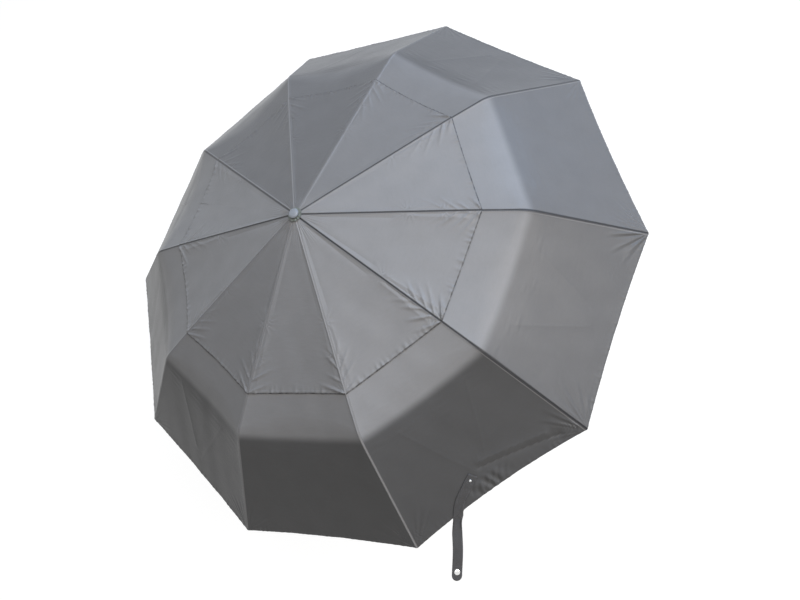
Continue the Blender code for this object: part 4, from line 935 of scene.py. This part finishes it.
# rib tips: a moulded bead on the end of each outer rib, which the rim of the canopy is sewn to
def makeRibTips():
    values = {"bead": (0.51897, 0.37596), "radius": 0.00305, "sleeve": 0.0021, "reach": 0.012,
              "lean": -37.47}
    ball = [(values["radius"] * math.sin(turn), values["radius"] * math.cos(turn))
            for turn in np.radians([0, 15, 30, 45, 60, 75, 90, 105, 120, 136])]
    outline = ball + [(values["sleeve"], -0.0032), (values["sleeve"], -values["reach"] + 0.0004),
                      (values["sleeve"] - 0.0004, -values["reach"]), (0, -values["reach"])]
    for rib in ribNumbers:
        bm = turnedMesh(outline, closed=False, steps=20)
        lay = Matrix.Rotation(math.radians(90 - values["lean"]), 4, "Y")
        out, height = values["bead"]
        place = (Matrix.Rotation(-math.tau * rib / 10, 4, "Z") @ Matrix.Translation((out, 0, height)) @ lay)
        hardPiece(f"ribTip_{rib}", bm, "rib_rod", f"outer_rib_{rib}", place=place)
    print("rib tips ready")


makeApex()
makeRibTips()


# closure strap: one length of webbing sewn to the skirt, over the rim and down to its snap
def makeWebbing(length):
    values = {"thread": (0.108, 0.108, 0.111, 1), "gap": (0.048, 0.048, 0.050, 1), "rib": 0.0013,
              "warp": 0.0007, "band": 0.0056, "stitchIn": 0.0069, "stitch": 0.0027,
              "stitchInner": 0.00018, "stitchOuter": 0.00034, "stitchColor": (0.13, 0.13, 0.135, 1),
              "bars": (0.0022, 0.015, length - 0.0225)}
    line = values["stitchInner"], values["stitchOuter"]
    material, tree, shader = startMaterial("strapWebbing", Roughness=0.78, Specular_IOR_Level=0.3)
    sewn = addNode(tree, "UVMap", uv_map="webbing").outputs[0]
    across, along, _ = addNode(tree, "SeparateXYZ", {"Vector": sewn}).outputs
    # herringbone: slanting ribs that turn back at each band
    slant = calc("ADD", along, calc("PINGPONG", across, values["band"] / 2))
    ribs = spread(wave(slant, values["rib"]), -1, 1)
    threads = spread(wave(across, values["warp"]), -1, 1)
    fuzz = noise(objectPlace(tree), 900, 3, 0.6)
    share = mixed((ribs, 0.55), (fuzz, 0.25), (noise(objectPlace(tree), 70, 3, 0.6), 0.35))
    color = blendColor(spread(share, 0.2, 0.95), values["gap"], values["thread"])
    # two rows of stitches along it, and three bars across
    side = calc("ABSOLUTE", across)
    rows = times(stripe(side, values["stitchIn"], *line), spread(wave(along, values["stitch"]), -0.5, -0.3))
    bars = stripe(along, values["bars"][0], *line)
    for height in values["bars"][1:]:
        bars = calc("MAXIMUM", bars, stripe(along, height, *line))
    inside = spread(side, values["stitchIn"], values["stitchIn"] + 0.0003, 1, 0)
    bars = times(bars, spread(wave(across, values["stitch"]), -0.5, -0.3), inside)
    stitches = calc("MAXIMUM", rows, bars)
    feed(shader, blendColor(times(stitches, 0.75), color, values["stitchColor"]))
    bumped(shader, mixed((ribs, 0.5), (threads, 0.25), (stitches, 0.9), (fuzz, 0.3)), 0.00025, 0.8)
    return material


# Place on the strap's skirt from coordinates along the rim and up from it
def skirtPlace(x, v):
    s = canopy["tipRadius"] - v / canopy["skirtSlant"]
    station = s
    for _ in range(4):
        c = x / (station * math.sin(halfPanel))
        station = s + (canopy["rimScoopStrap"] * (1 - c * c)
                       * nearing(station, canopy["tipRadius"], canopy["rimScoopReach"]))
    shape = clothShape(strapPanel, False, -1)
    return shape(station, c), facingOf(shape, station, c)


# A woven strip around a grid of points along its middle, with its own coordinates in metres
def makeRibbon(name, middle, thickness, offsets, travel, material):
    normal = unit(np.cross(np.gradient(middle, axis=1), np.gradient(middle, axis=0)))
    bm, column, row, isUnder = doubleGrid(len(offsets) - 1, len(travel) - 1)
    off = thickness[row, column] * np.where(isUnder, -0.5, 0.5)
    placeCorners(bm, middle[row, column] + normal[row, column] * off[:, None])
    if bm.calc_volume(signed=True) < 0:
        bmesh.ops.reverse_faces(bm, faces=bm.faces[:])
    piece = newPiece(name, bm, material, None, outward=False)
    writeMap(piece.data, "webbing", np.stack([offsets[column], travel[row]], axis=-1))
    return piece


def makeStrap():
    values = {"wide": 0.0162, "thick": 0.0012, "columns": 16, "lift": 0.0005,
              "root": (-0.0178, 0.050), "bend": (-0.0633, 0.025), "fall": (-0.6235, -0.7819),
              "corner": 0.016, "leave": 0.0035, "hinge": (-0.22513, 0.46112, 0.37261),
              "down": (0.057, 0.953, -0.298), "axis": (-0.91048, -0.07284, -0.40709),
              "face": (-0.40961, 0.29449, 0.86342), "free": 0.086, "settle": 0.013,
              "snapInset": 0.014, "hem": 0.019, "doubled": 1.55, "sway": 0.0011, "swayPitch": 0.078,
              "drift": 0.0008, "driftPitch": 0.11, "calm": 0.02, "edgeThinned": 0.62, "hemStep": 0.0012,
              "tail": 0.0016, "tailThinned": 0.5, "bending": (-0.004, 0.010), "studIn": 0.010}
    half = values["wide"] / 2
    root, bend, fall = (np.array(values[key]) for key in ("root", "bend", "fall"))
    hinge, down, axis, face = (np.array(values[key]) for key in ("hinge", "down", "axis", "face"))
    down, first = unit(down), unit(bend - root)
    # its way over the skirt, the corner rounded
    corner = [bend - first * values["corner"], bend, bend + fall * values["corner"]]
    reach = (bend[1] - values["leave"]) / -fall[1]
    path = [root + (corner[0] - root) * share for share in np.linspace(0, 1, 16, endpoint=False)]
    path += [(1 - t) ** 2 * corner[0] + 2 * t * (1 - t) * corner[1] + t * t * corner[2]
             for t in np.linspace(0, 1, 12, endpoint=False)]
    path += [corner[2] + fall * (reach - values["corner"]) * t for t in np.linspace(0, 1, 8)]
    path = np.array(path)
    way = unit(np.gradient(path, axis=0))
    across = np.stack([-way[:, 1], way[:, 0]], axis=1)
    offsets = np.linspace(-half, half, values["columns"] + 1)
    places = path[:, None, :] + across[:, None, :] * offsets[None, :, None]
    skirt, facing = skirtPlace(places[..., 0], places[..., 1])
    facing = facing * np.sign(facing[..., 2:])
    skirt = skirt + facing * (values["lift"] + values["thick"] / 2)
    # the hanging part, its end rounded
    if np.dot(skirt[-1, -1] - skirt[-1, 0], axis) < 0:
        axis = -axis
    free, settle = values["free"], values["settle"]
    lengths = np.array(list(np.linspace(settle, free - half, 34))
                       + [free - half + half * math.sin(turn)
                          for turn in np.radians([20, 38, 54, 67, 76, 83])])
    narrowed = np.sqrt(np.clip(1 - (np.maximum(lengths - free + half, 0) / half) ** 2, 0, 1))

    def hangAt(length):
        hung = length - settle
        sway = values["sway"] * ripple(hung / values["swayPitch"]) * smoothStep(hung / values["calm"])
        drift = values["drift"] * ripple(hung / values["driftPitch"])
        return hinge + down * length + face * sway + axis * drift

    hang = hangAt(lengths[:, None])[:, None, :] + axis * (offsets * narrowed[:, None])[..., None]
    # between them the strap bends over the rim
    start, end = skirt[-1], hang[0]
    leaving = unit(skirt[-1] - skirt[-2])
    gap = np.linalg.norm(end - start, axis=1, keepdims=True)
    over = [(2 * t ** 3 - 3 * t ** 2 + 1) * start + (t ** 3 - 2 * t ** 2 + t) * gap * leaving
            + (3 * t ** 2 - 2 * t ** 3) * end + (t ** 3 - t ** 2) * gap * down
            for t in np.linspace(0, 1, 12)[1:-1]]
    middle = np.concatenate([skirt, np.array(over), hang])
    along = middle[:, values["columns"] // 2]
    travel = np.concatenate([[0], np.cumsum(np.linalg.norm(np.diff(along, axis=0), axis=1))])
    length = float(travel[-1])
    # doubled along its hem, thinner at its sides and its very end
    side = 1 - values["edgeThinned"] * np.abs(offsets / half) ** 8
    doubled = 1 + (values["doubled"] - 1) * smoothStep((travel - length + values["hem"]) / values["hemStep"])
    tail = 1 - values["tailThinned"] * smoothStep((travel - length) / values["tail"] + 1)
    thickness = values["thick"] * (doubled * tail)[:, None] * side
    piece = makeRibbon("closureStrap", middle, thickness, offsets, travel, makeWebbing(length))
    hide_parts("strap_tab", "closure_strap")
    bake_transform(piece)
    print("strap", round(length, 4), "long")

    # press stud: its socket on the base, its cap near the end
    foot, up = skirtPlace(*(root + first * values["studIn"]))
    up = up * np.sign(up[2])
    stud = [(0.0006, 0.0), (0.0020, 0.0), (0.0020, 0.0004), (0.0017, 0.0008), (0.0012, 0.0009),
            (0.0011, 0.0012), (0.0008, 0.00135), (0.0006, 0.0010)]
    place = placeOn(foot + up * (values["lift"] + values["thick"]), up)
    hardPiece("strapStud", turnedMesh(stud, rounded=0.00008, steps=32), "snap_metal", "strap_tab",
              place=place)
    spot = hangAt(free - values["snapInset"])
    lift = values["thick"] * values["doubled"] / 2
    capRound = [(0, 0.0019), (0.0012, 0.00188), (0.0024, 0.00174), (0.0033, 0.00148), (0.0038, 0.0012),
                (0.0041, 0.0011), (0.0045, 0.0008), (0.0045, 0.0003), (0.0042, 0.0), (0, 0.0)]
    hardPiece("snapCap", turnedMesh(capRound, closed=False, steps=48), "snap_metal", "closure_strap",
              ["snap_cap"], place=placeOn(spot + face * lift, face))
    back = [(0, 0.0004), (0.0012, 0.0004), (0.0016, 0.0010), (0.0024, 0.0010), (0.0030, 0.0006),
            (0.0033, 0.0), (0, 0.0)]
    hardPiece("snapBack", turnedMesh(back, closed=False, steps=40), "snap_metal", "closure_strap",
              place=placeOn(spot - face * lift, -face))


def placeOn(spot, up):
    turn = Vector((0, 0, 1)).rotation_difference(Vector(up)).to_matrix().to_4x4()
    return Matrix.Translation(Vector(spot)) @ turn


makeStrap()


# floor, lamps, world and camera

# 1 for rays that come from the camera, by a mirror or through glass too, and 0 for light falling on things
def seenShare(tree):
    rays = addNode(tree, "LightPath").outputs
    through = calc("MAXIMUM", rays["Is Glossy Ray"], rays["Is Transmission Ray"])
    return calc("MAXIMUM", rays["Is Camera Ray"], through)


def makeFloor():
    values = {"height": -0.0468, "size": 4.0, "color": (0.8, 0.8, 0.8, 1), "seenColor": (0.22, 0.22, 0.22, 1),
              "glow": 0.92}
    bm = bmesh.new()
    bmesh.ops.create_grid(bm, x_segments=2, y_segments=2, size=values["size"])
    bmesh.ops.translate(bm, verts=bm.verts, vec=(0, 0, values["height"]))
    material, tree, shader = startMaterial("studioFloor", Base_Color=values["color"], Roughness=0.9)
    pale = addNode(tree, "BsdfDiffuse", {"Color": values["seenColor"]})
    glow = addNode(tree, "Emission", {"Color": (1, 1, 1, 1), "Strength": values["glow"]})
    shown = addNode(tree, "AddShader", {0: pale.outputs[0], 1: glow.outputs[0]})
    both = addNode(tree, "MixShader", {0: seenShare(tree), 1: shader.outputs[0], 2: shown.outputs[0]})
    # from below it is clear, so that the underside can be looked at
    below = addNode(tree, "NewGeometry").outputs["Backfacing"]
    sides = addNode(tree, "MixShader", {0: below, 1: both.outputs[0],
                                        2: addNode(tree, "BsdfTransparent").outputs[0]})
    tree.links.new(sides.outputs[0], tree.nodes["Material Output"].inputs["Surface"])
    ground = newPiece("floor", bm, material, None, smooth=False, outward=False)


def makeLamps():
    # name, bearing and height of it in degrees, power, size, colour
    lamps = [("sideLamp", 178, 38, 66, 1.6, (1.0, 0.95, 0.90)),
             ("coolLamp", 232, 30, 44, 1.8, (0.38, 0.62, 1.0)),
             ("highLamp", 225, 63, 24, 1.6, (0.90, 0.94, 1.0)),
             ("topLamp", 120, 76, 14, 1.4, (1.0, 0.93, 0.86)),
             ("rimLamp", 335, 24, 6, 1.6, (0.90, 0.95, 1.0)),
             ("sheenLamp", 297, 64, 10, 1.2, (0.96, 0.97, 1.0))]
    values = {"away": 3.0, "centre": (0, 0, 0.48)}
    for name, bearing, height, power, size, color in lamps:
        lamp = bpy.data.objects.new(name, bpy.data.lights.new(name, "AREA"))
        bpy.context.scene.collection.objects.link(lamp)
        lamp.data.energy, lamp.data.size, lamp.data.color = power, size, color
        toLamp = (Matrix.Rotation(math.radians(bearing), 3, "Z")
                  @ Matrix.Rotation(-math.radians(height), 3, "Y") @ Vector((1, 0, 0)))
        lamp.location = Vector(values["centre"]) + toLamp * values["away"]
        lamp.rotation_euler = (-toLamp).to_track_quat("-Z", "Y").to_euler()


# The world looks white, and lights things only dimly
def makeWorld():
    world = bpy.data.worlds.new("studio")
    bpy.context.scene.world = world
    world.use_nodes = True
    tree = world.node_tree
    back = tree.nodes["Background"]
    back.inputs["Color"].default_value = (1, 1, 1, 1)
    tree.links.new(spread(seenShare(tree), 0, 1, 0.02, 1), back.inputs["Strength"])


def makeCamera():
    values = {"place": (-0.5455, 0.4202, 1.3614), "turns": (18.88569, 22.98826, -175.82888),
              "lens": 28.153, "sensor": 36}
    camera = bpy.data.objects.new("camera", bpy.data.cameras.new("camera"))
    camera.data.lens, camera.data.sensor_width = values["lens"], values["sensor"]
    camera.location = values["place"]
    camera.rotation_euler = [math.radians(turn) for turn in values["turns"]]
    bpy.context.scene.collection.objects.link(camera)
    bpy.context.scene.camera = camera


makeFloor()
makeLamps()
makeWorld()
makeCamera()
bpy.context.scene.view_settings.view_transform = "Standard"
print("studio ready")
